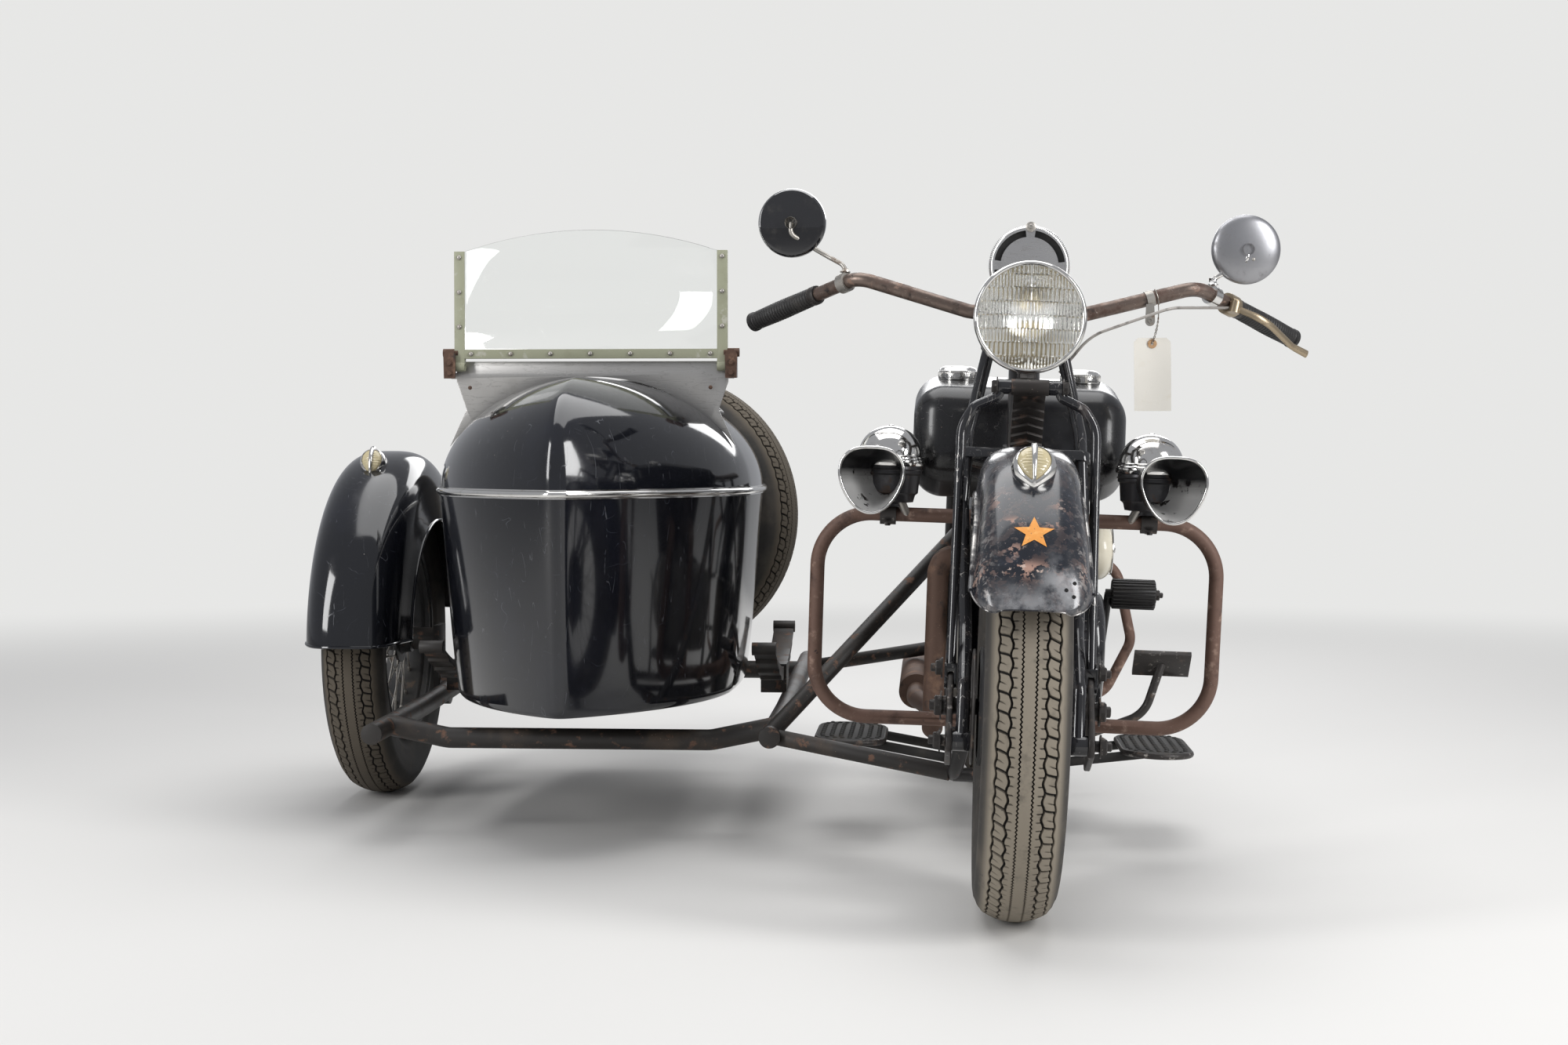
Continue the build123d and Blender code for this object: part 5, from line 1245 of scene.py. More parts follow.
bowl = [(-6 - 62 * (1 - s ** 2), 86.2 * s) for s in np.linspace(1, 0.10, 30)]
steered("headlamp_reflector", [turned(bowl + [(bowl[-1][0], 0.1)], (0, 0, 0), 96)], silvered, closed=False)
steered("headlamp_bulb", [turned([(-30, 0.1), (-30, 12), (4, 12), (6, 9), (6, 0.1)], (0, 0.040, -0.018), 32),
                          turned([(0, 16), (10, 16), (13, 13), (14, 0.1)], (0, 0.030, -0.020), 40)],
                          bulb_brass)
bolt_shank = turned([(-6, 15), (10, 15), (12, 12), (40, 12), (40, 0.1)], (0, 0.062, -0.088), 24,
                    (0, 0.25, -1))
steered("headlamp_bolt", hexagon(lamp + vec(0, 0.045, -0.090), (0, 0, -1), 22, 12) + [bolt_shank],
        worn_forging)


# Horn
# A round electric horn behind the headlamp: a knurled plated ring with its lug and screw, a brushed disc and
# four dark slots between the disc and the ring.


def bent(points, bends, steps=8):
    """Path of straight runs joined by round bends, each an arc of its own radius."""
    points = [np.array(p, float) for p in points]
    path = [points[0]]
    for before, corner, after, bend in zip(points, points[1:], points[2:], bends):
        back = unit(before - corner)
        forth = unit(after - corner)
        half_angle = np.arccos(np.clip(back @ forth, -1, 1)) / 2
        length = bend / np.tan(half_angle)
        centre = corner + unit(back + forth) * bend / np.sin(half_angle)
        start = corner + back * length - centre
        end = corner + forth * length - centre
        opening = np.arccos(np.clip(start @ end / bend ** 2, -1, 1))
        share = np.linspace(0, 1, steps)[:, None]
        arc = (np.sin((1 - share) * opening) * start + np.sin(share * opening) * end) / np.sin(opening)
        path.extend(arc + centre)
    return np.array(path + [points[-1]])


brushed_plate = finish("brushed_plate", (0.62, 0.61, 0.6), 0.24, metallic=1, bump=0.0002, slot="chrome",
                       layers=[
    scratches(160, 0.75, 0.03, (0.42, 0.41, 0.4), 0.4, strength=0.8, Stretch=(0.15, 1, 1)),
    specks(300, 0.68, (0.16, 0.12, 0.09), 0.7, 0.3)])
horn_black = finish("horn_black", (0.008, 0.008, 0.008), 0.6, slot="black_paint", layers=[
    patches(60, 0.45, 0.3, (0.045, 0.038, 0.032))])
horn = vec(0, 0.314, 1.060)
knurl_count = 132
knurl_turn = round_turn(knurl_count * 4)
knurl = 0.9 * (np.arange(knurl_count * 4) % 4 < 2)
horn_profile = [(-16, 46, 0), (-16, 68, 0), (-13, 68.5, 1), (1, 69, 1), (4, 67.5, 1), (7, 65, 1), (8, 63, 0),
                (8, 60.5, 0), (4, 60, 0), (-4, 59.5, 0)]
horn_rows = [horn + mm * np.stack([(r + k * knurl) * np.sin(knurl_turn), np.full_like(knurl_turn, -a),
                                   (r + k * knurl) * np.cos(knurl_turn)], -1) for a, r, k in horn_profile]
steered("horn_ring", [grid(horn_rows, around=True, along=True)], old_chrome, replaces="horn")
horn_disc = [lathe([(-4, 0.1), (5.5, 0.1), (5.5, 38), (3.5, 46), (3.5, 49.5), (-4, 50)], horn, forward, 96)]
for quarter in range(4):
    turn = np.radians(quarter * 90 + np.linspace(-8, 8, 7))
    out = np.stack([np.sin(turn), 0 * turn, np.cos(turn)], -1)
    inner_arc = horn + vec(0, -0.0025, 0) + 0.049 * out
    outer_arc = inner_arc + 0.0125 * out
    back = vec(0, 0.003, 0)
    horn_disc.append(grid([inner_arc + back, inner_arc, outer_arc, outer_arc + back], along=True))
steered("horn_disc", horn_disc, brushed_plate, closed=False)
horn_back = [(-14, 66), (-20, 64), (-34, 58), (-36, 40), (-52, 36), (-76, 33), (-80, 28), (-80, 0.1)]
steered("horn_body", [lathe(profile, horn, forward, 48) for profile in ([(-3, 62), (-3, 0.1)], horn_back)],
        horn_black, closed=False)
bracket = bent([horn + vec(0, 0.060, -0.020), (0, 0.385, 1.030), (0, 0.398, 0.985)], [0.02])
steered("horn_bracket", [sweep(bracket, 9, 12)], rod_enamel)
lug = horn + vec(0, 0, 0.0665)
steered("horn_lug", [lathe([(-8, 0.1), (-8, 8.5), (9.5, 8.5), (11, 6), (11, 0.1)], lug, forward, 28),
                     lathe([(10, 4.5), (12.5, 4.2), (13.5, 3), (13.5, 0.1)], lug, forward, 20)], dull_plate,
        slot="chrome")

# Handlebar
# A wide 25 mm bar in rusted tube, held in the upper crown, with black rubber grips and collars, a forged
# hand lever with its cable, a wire clip that holds a bare card tag, and two mirrors on thin plated stalks.
rusted_bar = finish("rusted_bar", (0.17, 0.13, 0.11), 0.34, metallic=0.8, bump=0.0005, slot="rusted_tube",
                    layers=[
    patches(24, 0.55, 0.2, (0.085, 0.048, 0.036), 0.6, 0.3),
    patches(28, 0.4, 0.12, (0.018, 0.014, 0.013), 0.36, 0.2),
    patches(60, 0.36, 0.1, (0.25, 0.165, 0.125), 0.8, 0.1),
    scratches(80, 0.4, 0.01, (0.45, 0.4, 0.36), 0.35, 0.9),
    specks(240, 0.72, (0.3, 0.2, 0.15), 0.85, height=-0.6)])
grip_rubber = finish("grip_rubber", (0.011, 0.01, 0.01), 0.5, bump=0.0005, slot="rubber", layers=[
    patches(30, 0.48, 0.3, (0.052, 0.046, 0.04), 0.75, strength=0.7),
    specks(260, 0.7, (0.11, 0.1, 0.085), 0.8)])
bronze_lever = finish("bronze_lever", (0.36, 0.29, 0.2), 0.34, metallic=0.85, bump=0.0003, slot="steel",
                      layers=[
    patches(34, 0.45, 0.2, (0.16, 0.11, 0.075), 0.55, 0.4),
    specks(240, 0.68, (0.07, 0.05, 0.04), 0.7)])
cable_black = finish("cable_black", (0.3, 0.28, 0.26), 0.42, metallic=0.3, slot="rubber", layers=[
    patches(60, 0.5, 0.2, (0.05, 0.045, 0.04), 0.7, 0)])
bar_radius = 12.7
bar_bend = vec(0.298, 0.420, 1.040)
bar_end = vec(0.491, 0.600, 0.967)
bar_half = [vec(0.098, 0.395, 0.984), bar_bend, bar_end]
bar_route = [point * vec(-1, 1, 1) for point in bar_half[::-1]] + bar_half
bar_tube = sweep(bent(bar_route, [0.060, 0.050, 0.050, 0.060], 14), bar_radius, 28)
steered("handlebar_tube", [bar_tube], rusted_bar, replaces="handlebar")


def along_grip(side, share):
    """A point on the bar's last straight run, and the run's direction: share 0 at the bend, 1 at the end."""
    start, end = (point * vec(side, 1, 1) for point in (bar_bend, bar_end))
    return start + (end - start) * share, unit(end - start)


def collar(half, rim, chamfer, centre, axis):
    """A clamp round the bar, its middle at a point: half its length, its radius and its chamfer."""
    section = [(half, bar_radius), (half, rim - 1), (half - chamfer, rim)]
    return lathe([(-x, r) for x, r in section] + section[::-1], centre, axis, 36)


grips = []
collars = []
for side in (-1, 1):
    start, run = along_grip(side, 0.43)
    long = np.linalg.norm(along_grip(side, 1.03)[0] - start) / mm
    along = np.linspace(0, long - 10, 90)
    ribs = np.clip(np.sin(along * 2 * pi / 6.8), 0, 1)
    profile = [(0, bar_radius), *zip(along, 15.8 + 1.2 * np.sin(pi * along / long) + ribs)]
    grips.append(lathe(profile + [(long - 8, 18), (long - 2, 18), (long, 15), (long, 0.1)], start, run, 40))
    collars.append(collar(8, 17.5, 3, along_grip(side, 0.375)[0] + run * 0.008, run))
steered("bar_grips", grips, grip_rubber, replaces="grips")
steered("grip_collars", collars, worn_forging)

perch, run = along_grip(1, 0.34)
hinge = perch + vec(0.006, -0.022, -0.006)
hinge_axis = (0.2, 0.2, 1)
lever_tip = perch + vec(0.148, 0.062, -0.080)
lever_bend = lever_tip + vec(-0.03, -0.022, 0.012)
lever_path = bent([hinge, hinge + vec(0.055, -0.006, -0.022), lever_bend, lever_tip], [0.06, 0.06])
lever_wide = np.interp(np.linspace(0, 1, len(lever_path)), [0, 0.15, 0.9, 1], [5.8, 7.0, 6.2, 7.0])
steered("clutch_lever", [sweep(lever_path, lever_wide, 16, flat=0.55),
                         sleeve(-10, 10, 0.1, 10, hinge, hinge_axis, 24, closed=False),
                         *hexagon(hinge + vec(0.002, 0.002, 0.010), hinge_axis, 10, 5),
                         collar(13, 19.5, 3, perch, run), sweep([perch, hinge], 8.5)], bronze_lever,
        replaces="hand_lever")
cable_points = [hinge + vec(-0.006, 0.004, 0), (0.25, 0.375, 1), (0.11, 0.335, 0.945), (0.06, 0.345, 0.88)]
cable = bent(cable_points, [0.09, 0.08], 12)
steered("lever_cable", [sweep(cable, 2.6, 10)], cable_black)

mirror_glass = finish("mirror_glass", (0.01, 0.01, 0.012), 0.05, Coat_Weight=0.8, slot="chrome", layers=[
    patches(40, 0.42, 0.3, (0.06, 0.055, 0.05), 0.25, strength=0.6)])
mirror_silver = finish("mirror_silver", (0.8, 0.8, 0.8), 0.03, metallic=1, slot="chrome", layers=[
    patches(30, 0.4, 0.4, (0.62, 0.6, 0.57), 0.14, strength=0.6)])
dull_shell = finish("dull_shell", (0.33, 0.33, 0.345), 0.34, metallic=0.85, bump=0.0003, slot="chrome",
                    layers=[
    patches(34, 0.46, 0.25, (0.15, 0.145, 0.145), 0.5, 0.5),
    specks(180, 0.66, (0.55, 0.53, 0.5), 0.4)])
flat_dish = [(-10, 0.1), (-10, 52), (-8.5, 57.5), (-4, 60.5), (3, 61.5), (6.5, 60), (7, 57.5), (4.5, 56.5)]
deep_dish = [(-17 * cos(t), max(0.1, 61 * sin(t) ** 0.9)) for t in np.linspace(0, pi / 2, 16)]
deep_dish += [(4, 61.5), (7, 60), (5, 57)]
mirrors = [("right", -1, vec(-0.420, 0.455, 1.136), flat_dish, mirror_glass, 0.12, dull_plate),
           ("left", 1, vec(0.385, 0.455, 1.112), deep_dish, dull_shell, 0.16, old_chrome)]
for word, side, head, dish, back_finish, clamp_share, stalk_finish in mirrors:
    face = unit(vec(-side * 0.10, 1.0, 0.05))
    steered("mirror_back_" + word, [lathe(dish, head, face, 72)], back_finish, closed=False,
            replaces="mirrors" if side < 0 else None)
    steered("mirror_face_" + word, [lathe([(4.6, 57), (5, 40), (5.2, 0.1)], head, face, 72)], mirror_silver,
            closed=False)
    clamp, run = along_grip(side, clamp_share)
    halfway = (clamp + head) / 2 + vec(0, 0.020, 0.004)
    stalk = bent([clamp + vec(0, 0, 0.004), clamp + vec(0, 0.004, 0.030), halfway,
                  head - face * 0.014 + vec(0, 0, -0.02), head - face * 0.011], [0.02, 0.06, 0.012])
    socket = lathe([(-12, 10), (-4, 11), (0, 8), (0, 0.1)], head - face * 0.010, face, 24)
    steered("mirror_stalk_" + word, [sweep(stalk, 4.2, 12),
                                     sleeve(-9, 9, bar_radius - 1, 17.5, clamp, run, 32, closed=False),
                                     socket, *hexagon(clamp + vec(0, 0, 0.0185), (0, 0.1, 1), 12, 7)],
            stalk_finish, slot="chrome")
rivet_spots = [head - face * 0.0165 + vec(0.020 * sin(t), 0.0025, 0.020 * cos(t))
               for t in np.radians((30, 150, 270))]
steered("mirror_rivets", [rivet(spot, -face, 3.2, 2) for spot in rivet_spots], dull_plate)

# Tag
# A bare card on a twisted wire, hung from the bar beside a spring clip.
tag_card = finish("tag_card", (0.82, 0.79, 0.72), 0.8, bump=0.0003, slot="leather", layers=[
    patches(34, 0.42, 0.3, (0.74, 0.68, 0.57), strength=0.8),
    specks(180, 0.56, (0.52, 0.42, 0.3), strength=0.6),
    patches(260, 0.5, 0.4, height=0.3)])
tag_wire = finish("tag_wire", (0.32, 0.3, 0.27), 0.4, metallic=0.9, slot="steel", layers=[
    patches(90, 0.42, 0.1, (0.14, 0.08, 0.05), 0.8, 0.2)])
tag_ring = finish("tag_ring", (0.52, 0.32, 0.17), 0.8, slot="leather", layers=[
    patches(160, 0.5, 0.2, (0.26, 0.13, 0.06), strength=0.8)])
hung = functools.partial(steered, place=level)
bar_spot = leaning([0.2151, 0.4096, 1.0168]) - ground_point
bar_run = vec(0.956, 0.120, 0.268)
clip_line = [bar_spot[::2] + vec(-0.007, -0.010)]
clip_line += [bar_spot[::2] - vec(0.0085 * cos(t), 0.040 + 0.0085 * sin(t)) for t in np.linspace(0, pi, 13)]
clip_line += [bar_spot[::2] + vec(0.007, -0.010)]
clip_eye = lathe([(0, 2.6), (0, 4.5), (1.2, 4), (1.2, 2.6)], bar_spot + vec(0, -0.0140, -0.039), forward,
                 24, closed=True)
hung("bar_clip", [sleeve(-7, 7, 12.9, 14.3, bar_spot, bar_run, 40),
                  plate(clip_line, bar_spot[1] - 0.0140, bar_spot[1] - 0.0126), clip_eye], dull_plate)
tag_top = vec(0.2544, 0.398, 0.940)
tag_hole = tag_top + vec(0, 0, -0.0105)
tag_long = 0.128
tag_wide = 0.064
corner_share = 0.77
corner_long = 0.057
wire_from = bar_spot + bar_run * 0.0135
loop_side = unit(np.cross(bar_run, (0, 1, 0)))
wire_loop = [wire_from + 0.0138 * (cos(t) * vec(0, 1, 0) + sin(t) * loop_side) for t in round_turn(32)]
twist = np.linspace(0, 1, 60)[:, None]
twist_radius = 0.0014 * np.clip(twist * 3 - 1, 0, 1)
start = wire_from + vec(0, -0.0135, 0)
strands = [start + (tag_hole + vec(0, -0.0015, 0) - start) * twist
           + np.hstack([0.0055 * np.sin(pi * twist) + twist_radius * np.cos(twist * 40 + lag),
                        twist_radius * np.sin(twist * 40 + lag), 0 * twist]) for lag in (0, pi)]
hung("tag_wire", [sweep(wire_loop, 0.9, 8, closed=True)] + [sweep(strand, 0.8, 6) for strand in strands],
     tag_wire)
tag_rows = []
for down in np.linspace(0, 1, 36):
    half = tag_wide / 2 * min(1.0, corner_share + down * (1 - corner_share) / corner_long)
    bow = 0.004 * sin(down * 2.6) + 0.004 * down
    tag_rows.append(tag_top + np.stack([np.linspace(-half, half, 13) + 0.001 * down,
                                        0.0022 * np.cos(np.linspace(-1, 1, 13) * pi / 2) - bow,
                                        np.full(13, -tag_long * down)], -1))
thicken(hung("blank_tag", [grid(tag_rows)], tag_card, closed=False, angle=180), 0.5, 0.0)
hung("tag_eyelet", [sleeve(-1.2, 3.2, 2.6, 8, tag_hole, (0, 1, 0), 28)], tag_ring)

# Crash bars and sirens
# Two bars of rusted tube guard the engine and the rear, clamped to the frame. On the front one stand two
# motor sirens: chrome domes on dark motor housings, each with a flared scoop whose mouth looks forward.
guard_rust = finish("guard_rust", (0.15, 0.088, 0.066), 0.62, metallic=0.25, bump=0.0006, layers=[
    patches(22, 0.5, 0.2, (0.07, 0.04, 0.031), 0.5, 0.3),
    patches(50, 0.42, 0.15, (0.29, 0.195, 0.15), 0.8, 0.1),
    patches(34, 0.22, 0.06, (0.022, 0.018, 0.017), 0.38, 0.2),
    specks(210, 0.72, (0.36, 0.27, 0.22), 0.85, height=-0.6)])
siren_dark = finish("siren_dark", (0.05, 0.049, 0.052), 0.3, metallic=0.6, bump=0.0004, slot="chrome",
                    layers=[
    patches(16, 0.5, 0.3, (0.17, 0.165, 0.17), 0.36, 0.9),
    patches(34, 0.36, 0.12, (0.11, 0.075, 0.055), 0.7),
    specks(180, 0.68, (0.26, 0.2, 0.16), 0.7)])
# The throat's silver with dark flakes, and near-black painted over its upper part: painted shade inside the
# scoop.
flaked_silver_painted_shade = finish("flaked_silver_painted_shade", (0.86, 0.85, 0.83), 0.36, metallic=0.5, bump=0.0005, slot="chrome",
                       layers=[
    patches(34, 0.36, 0.06, (0.035, 0.028, 0.025), 0.4, 0.4),
    patches(5, 0.98, 0.1, (0.01, 0.01, 0.011), 0.2, 0.3, where="painted_shade"),
    specks(160, 0.7, (0.2, 0.13, 0.09), 0.8, 0.1)])
dressed(guard_rust, 0, "front_crash_bar", "rear_crash_bar")
guard_y = 0.395
guard_top = 0.624
siren_x = 0.228
siren_flange = 0.722
ring_low = (guard_top - siren_flange) / mm
dome = [(-12, 56), (-12, 60), (-8.5, 61.2), (-3.5, 61.2), (-1, 60.2), (0.5, 58.5), (4, 58), (6, 56)]
dome += [(6 + 51.5 * sin(t), 56 * cos(t) + 0.01) for t in np.linspace(0, pi / 2, 22)[1:]]
housing = [(-12, 56), (-14, 56.8), (-26, 56.8), (-29, 53.5), (-60, 51), (-64, 46), (-76, 43), (-78, 30),
           (ring_low + 14, 30), (ring_low + 13, 20)]
# Half of the mouth's outline from the top, in mm from its middle (out, up), smoothed to its first six waves.
mouth_marks = np.array([(0, 53), (31, 50), (50, 34), (55, 14), (49, -12), (36, -36), (19, -53), (0, -58)])
mouth_turn = round_turn(96) - pi
mark_turn = np.arctan2(*mouth_marks.T) % (2 * pi)
mouth_radius = np.interp(np.abs(mouth_turn), mark_turn, np.hypot(*mouth_marks.T)) * mm
waves = np.fft.rfft(mouth_radius)
waves[7:] = 0
mouth_radius = np.fft.irfft(waves)
mouth_line = mouth_radius[:, None] * np.column_stack([np.sin(mouth_turn), 0 * mouth_turn, np.cos(mouth_turn)])
lip_radius = 0.0572
lip_z = -0.0195
lip_ring = np.column_stack([lip_radius * np.cos(mouth_turn), lip_radius * np.sin(mouth_turn),
                            np.full(96, lip_z)])
screw_circle = 0.0590
dome_height = 0.0572
mouth_middle = vec(0.256, 0.262, 0.686)
skyward = (0, 0, 1)
for side, word in ((-1, "right"), (1, "left")):
    foot = vec(side * siren_x, guard_y, siren_flange)
    mouth = mouth_middle * vec(side, 1, 1)
    root = foot + vec(side * 0.002, -0.030, -0.036)
    screws = [rivet(foot + vec(screw_circle * cos(t), screw_circle * sin(t), -0.0012), skyward, 2.4, 1.8)
              for t in round_turn(6) + 0.3]
    screws.append(rivet(foot + vec(0, 0, dome_height), skyward, 5.2, 2.8))
    piece("siren_dome_" + word, [lathe(dome, foot, skyward, 96)] + screws, old_chrome, closed=False,
          replaces="sirens" if side < 0 else None)
    scoop = [mouth + (root - mouth) * share + mouth_line * (1.0 - 0.46 * share ** 1.25)
             for share in np.linspace(0, 1, 14)]
    piece("siren_scoop_" + word, [grid(scoop, around=True)], siren_dark, closed=False)
    piece("siren_rim_" + word, [sweep(mouth + mouth_line, 2.6, 10, closed=True)], old_chrome)
    throat = [mouth + (root - mouth) * share * 0.86 + mouth_line * (0.965 - 0.52 * share ** 1.1)
              for share in np.linspace(0, 1, 16)]
    throat = np.array(throat + [np.repeat(throat[-1].mean(0)[None], 96, 0)])
    # The upper part of the throat, inside the scoop, is painted near-black: painted shade.
    painted_shade = np.clip((throat[..., 2] - mouth[2] + 0.012) / 0.030, 0, 1)
    piece("siren_throat_" + word, [grid(throat, around=True)], flaked_silver_painted_shade, closed=False,
          attributes={"painted_shade": painted_shade})
    piece("siren_motor_" + word,
          [lathe(housing, foot, skyward, 72), sweep(foot + lip_ring, 1.6, 8, closed=True)],
          siren_dark, slot="black_paint", closed=False)
    stay = [foot + vec(-side * x, y, z) for x, y, z in ((0.010, -0.020, -0.036), (0.020, -0.022, -0.070),
                                                        (0.034, -0.004, -0.100))]
    piece("siren_stay_" + word, [sweep(bent(stay, [0.02], 6), 7.5, 16)], dull_plate, slot="chrome")
    clamp = [sleeve(-14, 14, 13.1, 18.5, (side * siren_x, guard_y, guard_top), (1, 0, 0), 32)]
    for shift in (-0.022, 0.022):
        clamp += hexagon((side * siren_x, guard_y + shift, guard_top - 0.014), (0, 0, -1), 10, 6)
    piece("siren_clamp_" + word, clamp, worn_forging)

# Motorcycle frame
# Brazed steel tube, forged lugs and engine plates in black enamel, dusty and chipped to rust.
frame_black = finish("frame_black", (0.013, 0.012, 0.012), 0.34, bump=0.0004, layers=[
    patches(10, 0.5, 0.3, (0.06, 0.045, 0.036), 0.75, strength=0.8),
    patches(46, 0.36, 0.1, (0.13, 0.075, 0.052), 0.8),
    specks(170, 0.7, (0.24, 0.16, 0.12), 0.8, height=-0.5),
    scratches(50, 0.4, 0.01, (0.2, 0.17, 0.15), 0.5)])
dressed(frame_black, 0.8, "bike_frame")
bolt_places = [(0.439, 0.260), (guard_y, guard_top), (1.330, 0.205)]
piece("frame_bolts", [shape for side in (-1, 1) for y, z in bolt_places
                      for shape in hexagon((side * 0.062, y - 0.014, z), forward, 17, 9)], worn_forging)

# Engine
# A 45-degree V-twin: cast aluminium crankcase and timing cover, finned iron cylinders with aluminium heads,
# pushrod tubes, a plain carburettor, a teardrop air cleaner and a rusted exhaust down the right side.
sand_cast = finish("sand_cast", (0.3, 0.285, 0.262), 0.56, metallic=0.7, bump=0.0005, layers=[
    patches(13, 0.52, 0.25, (0.075, 0.058, 0.044), 0.72, 0.2),
    patches(34, 0.42, 0.2, (0.42, 0.4, 0.37), 0.45, 0.85),
    specks(210, 0.7, (0.1, 0.08, 0.06), 0.8, 0.2),
    patches(330, 0.5, 0.4, height=0.7)])
fin_iron = finish("fin_iron", (0.085, 0.074, 0.066), 0.66, metallic=0.45, bump=0.0005, layers=[
    patches(24, 0.46, 0.2, (0.165, 0.105, 0.072), 0.85, 0.1),
    patches(44, 0.32, 0.12, (0.27, 0.25, 0.23), 0.5, 0.7),
    patches(260, 0.5, 0.4, height=0.6)])
burnt_pipe = finish("burnt_pipe", (0.115, 0.07, 0.052), 0.68, metallic=0.5, bump=0.0006, layers=[
    patches(20, 0.5, 0.2, (0.22, 0.13, 0.085), 0.85, 0.1),
    patches(32, 0.4, 0.15, (0.045, 0.034, 0.03), 0.6),
    specks(220, 0.74, (0.3, 0.21, 0.15), 0.9, height=-0.7)])
cream_enamel = finish("cream_enamel", (0.74, 0.69, 0.56), 0.24, bump=0.0003, Coat_Weight=0.25, layers=[
    patches(16, 0.45, 0.3, (0.6, 0.52, 0.38), 0.4, strength=0.7),
    specks(110, 0.62, (0.16, 0.09, 0.06), 0.8, height=-0.4),
    scratches(40, 0.36, 0.007, (0.34, 0.26, 0.18), 0.6)])
dressed(sand_cast, 2.0, "crankcase", "gearbox")
dressed(fin_iron, 0.6, "cylinder_front", "cylinder_rear")
dressed(rod_enamel, 3.0, "primary_cover")
dressed(burnt_pipe, 0.6, "exhaust")
dressed(sand_cast, 1.0, "carburettor")
dressed(cream_enamel, 4.0, "air_cleaner")
case_middle = vec(0, 0.735, 0.365)
case_half = 0.0695
bolt_circle = 0.108
case_bolts = []
for t in round_turn(10) + 0.2:
    for side in (1, -1):
        spot = case_middle + vec(side * case_half, bolt_circle * cos(t), bolt_circle * sin(t))
        case_bolts += hexagon(spot, (side, 0, 0), 11, 6)
piece("case_bolts", case_bolts, dull_plate)
cleaner = vec(0.190, 0.735, 0.561)
cleaner_half_y = 0.0704
cleaner_half_z = 0.0464
cleaner_turn = round_turn(96)
cleaner_ring = cleaner + np.stack([np.full(96, -0.0005), cleaner_half_y * np.cos(cleaner_turn),
                                   cleaner_half_z * np.sin(cleaner_turn)], -1)
piece("air_cleaner_trim", [rivet(cleaner + vec(-0.0005, 0, 0), (1, 0, 0), 14, 5),
                           *hexagon(cleaner + vec(0.004, 0, 0), (1, 0, 0), 10, 5),
                           sweep(cleaner_ring, 1.6, 8, closed=True)], old_chrome)

# Tanks
# Twin steel tanks, petrol on the left and petrol with oil on the right, in satin black, with knurled chrome
# caps and a plated strip down the split between them.
satin_black = finish("satin_black", (0.0085, 0.0085, 0.0095), 0.27, bump=0.0003, Coat_Weight=0.15,
                     slot="black_paint", layers=[
    patches(7, 0.5, 0.3, (0.022, 0.022, 0.026), 0.42, strength=0.8),
    patches(26, 0.36, 0.2, (0.06, 0.052, 0.046), 0.55, strength=0.6),
    scratches(40, 0.4, 0.005, (0.15, 0.14, 0.14), 0.5, strength=0.7),
    specks(130, 0.66, (0.24, 0.17, 0.13), 0.75)])
dressed(satin_black, 2.5, "tank_right", "tank_left", angle=60)
cap_x = 0.112
cap_y = 0.600
cap_turn = round_turn(360)
cap_knurl = np.arange(360) % 4 < 2
# A cap's rows from the tank upwards: height, radius and knurl (mm).
cap_profile = [(862, 30, 0), (868, 34.5, 0), (870, 36, 0), (872.5, 36, 0), (873.5, 36.2, 1), (886, 36.2, 1),
               (887, 35.5, 0), (891, 33.5, 0), (894.5, 27, 0), (895.8, 12, 0), (896, 0.1, 0)]
cap_rows = mm * np.array([np.column_stack([(r + k * cap_knurl) * np.cos(cap_turn),
                                           (r + k * cap_knurl) * np.sin(cap_turn), np.full(360, z)])
                          for z, r, k in cap_profile])
caps = [grid(cap_rows + vec(side * cap_x, cap_y, 0), around=True) for side in (-1, 1)]
piece("tank_caps", caps, old_chrome, replaces="filler_caps", closed=False)

# Saddle
# A pan-mounted solo saddle of thick brown-black hide with a skirt, rivets round its edge, and a pair of
# coil springs under its rear.
saddle_hide = finish("saddle_hide", (0.03, 0.02, 0.015), 0.42, bump=0.0008, Coat_Weight=0.15, slot="leather",
                     layers=[
    patches(12, 0.5, 0.3, (0.085, 0.052, 0.033), 0.6, strength=0.85),
    patches(210, 0.46, 0.2, height=-0.8),
    scratches(44, 0.55, 0.009, (0.12, 0.08, 0.055), 0.7, height=-0.8),
    specks(240, 0.66, (0.17, 0.12, 0.085), 0.75)])
saddle_front = 1.030
saddle_rear = 1.392
saddle_floor = 0.764


def saddle_row(share, ring):
    """Across the saddle at a share of its length: a superellipse whose width swells from the nose as a sine,
    with a dipped middle and a raised rear."""
    half = 0.034 + 0.134 * np.sin(np.clip(share * 1.02, 0, 1) * pi / 2) ** 1.9
    half = half * np.sqrt(np.clip(1 - np.clip((share - 0.86) / 0.143, 0, 1) ** 2.4, 0.0004, 1))
    half = half * np.sqrt(np.clip(1 - np.clip((0.08 - share) / 0.083, 0, 1) ** 2.2, 0.0004, 1))
    rise = 0.030 + 0.016 * share ** 2.2 - 0.008 * np.sin(share * pi)
    up = np.sin(ring)
    x = half * np.sign(np.cos(ring)) * np.abs(np.cos(ring)) ** 0.72
    z = np.where(up > 0, rise * np.abs(up) ** 0.9, -0.014 * np.abs(up) ** 0.5)
    y = saddle_front + (saddle_rear - saddle_front) * share
    return np.stack([x, np.full_like(x, y), z - 0.010 * (np.abs(x) / 0.168) ** 2], -1)


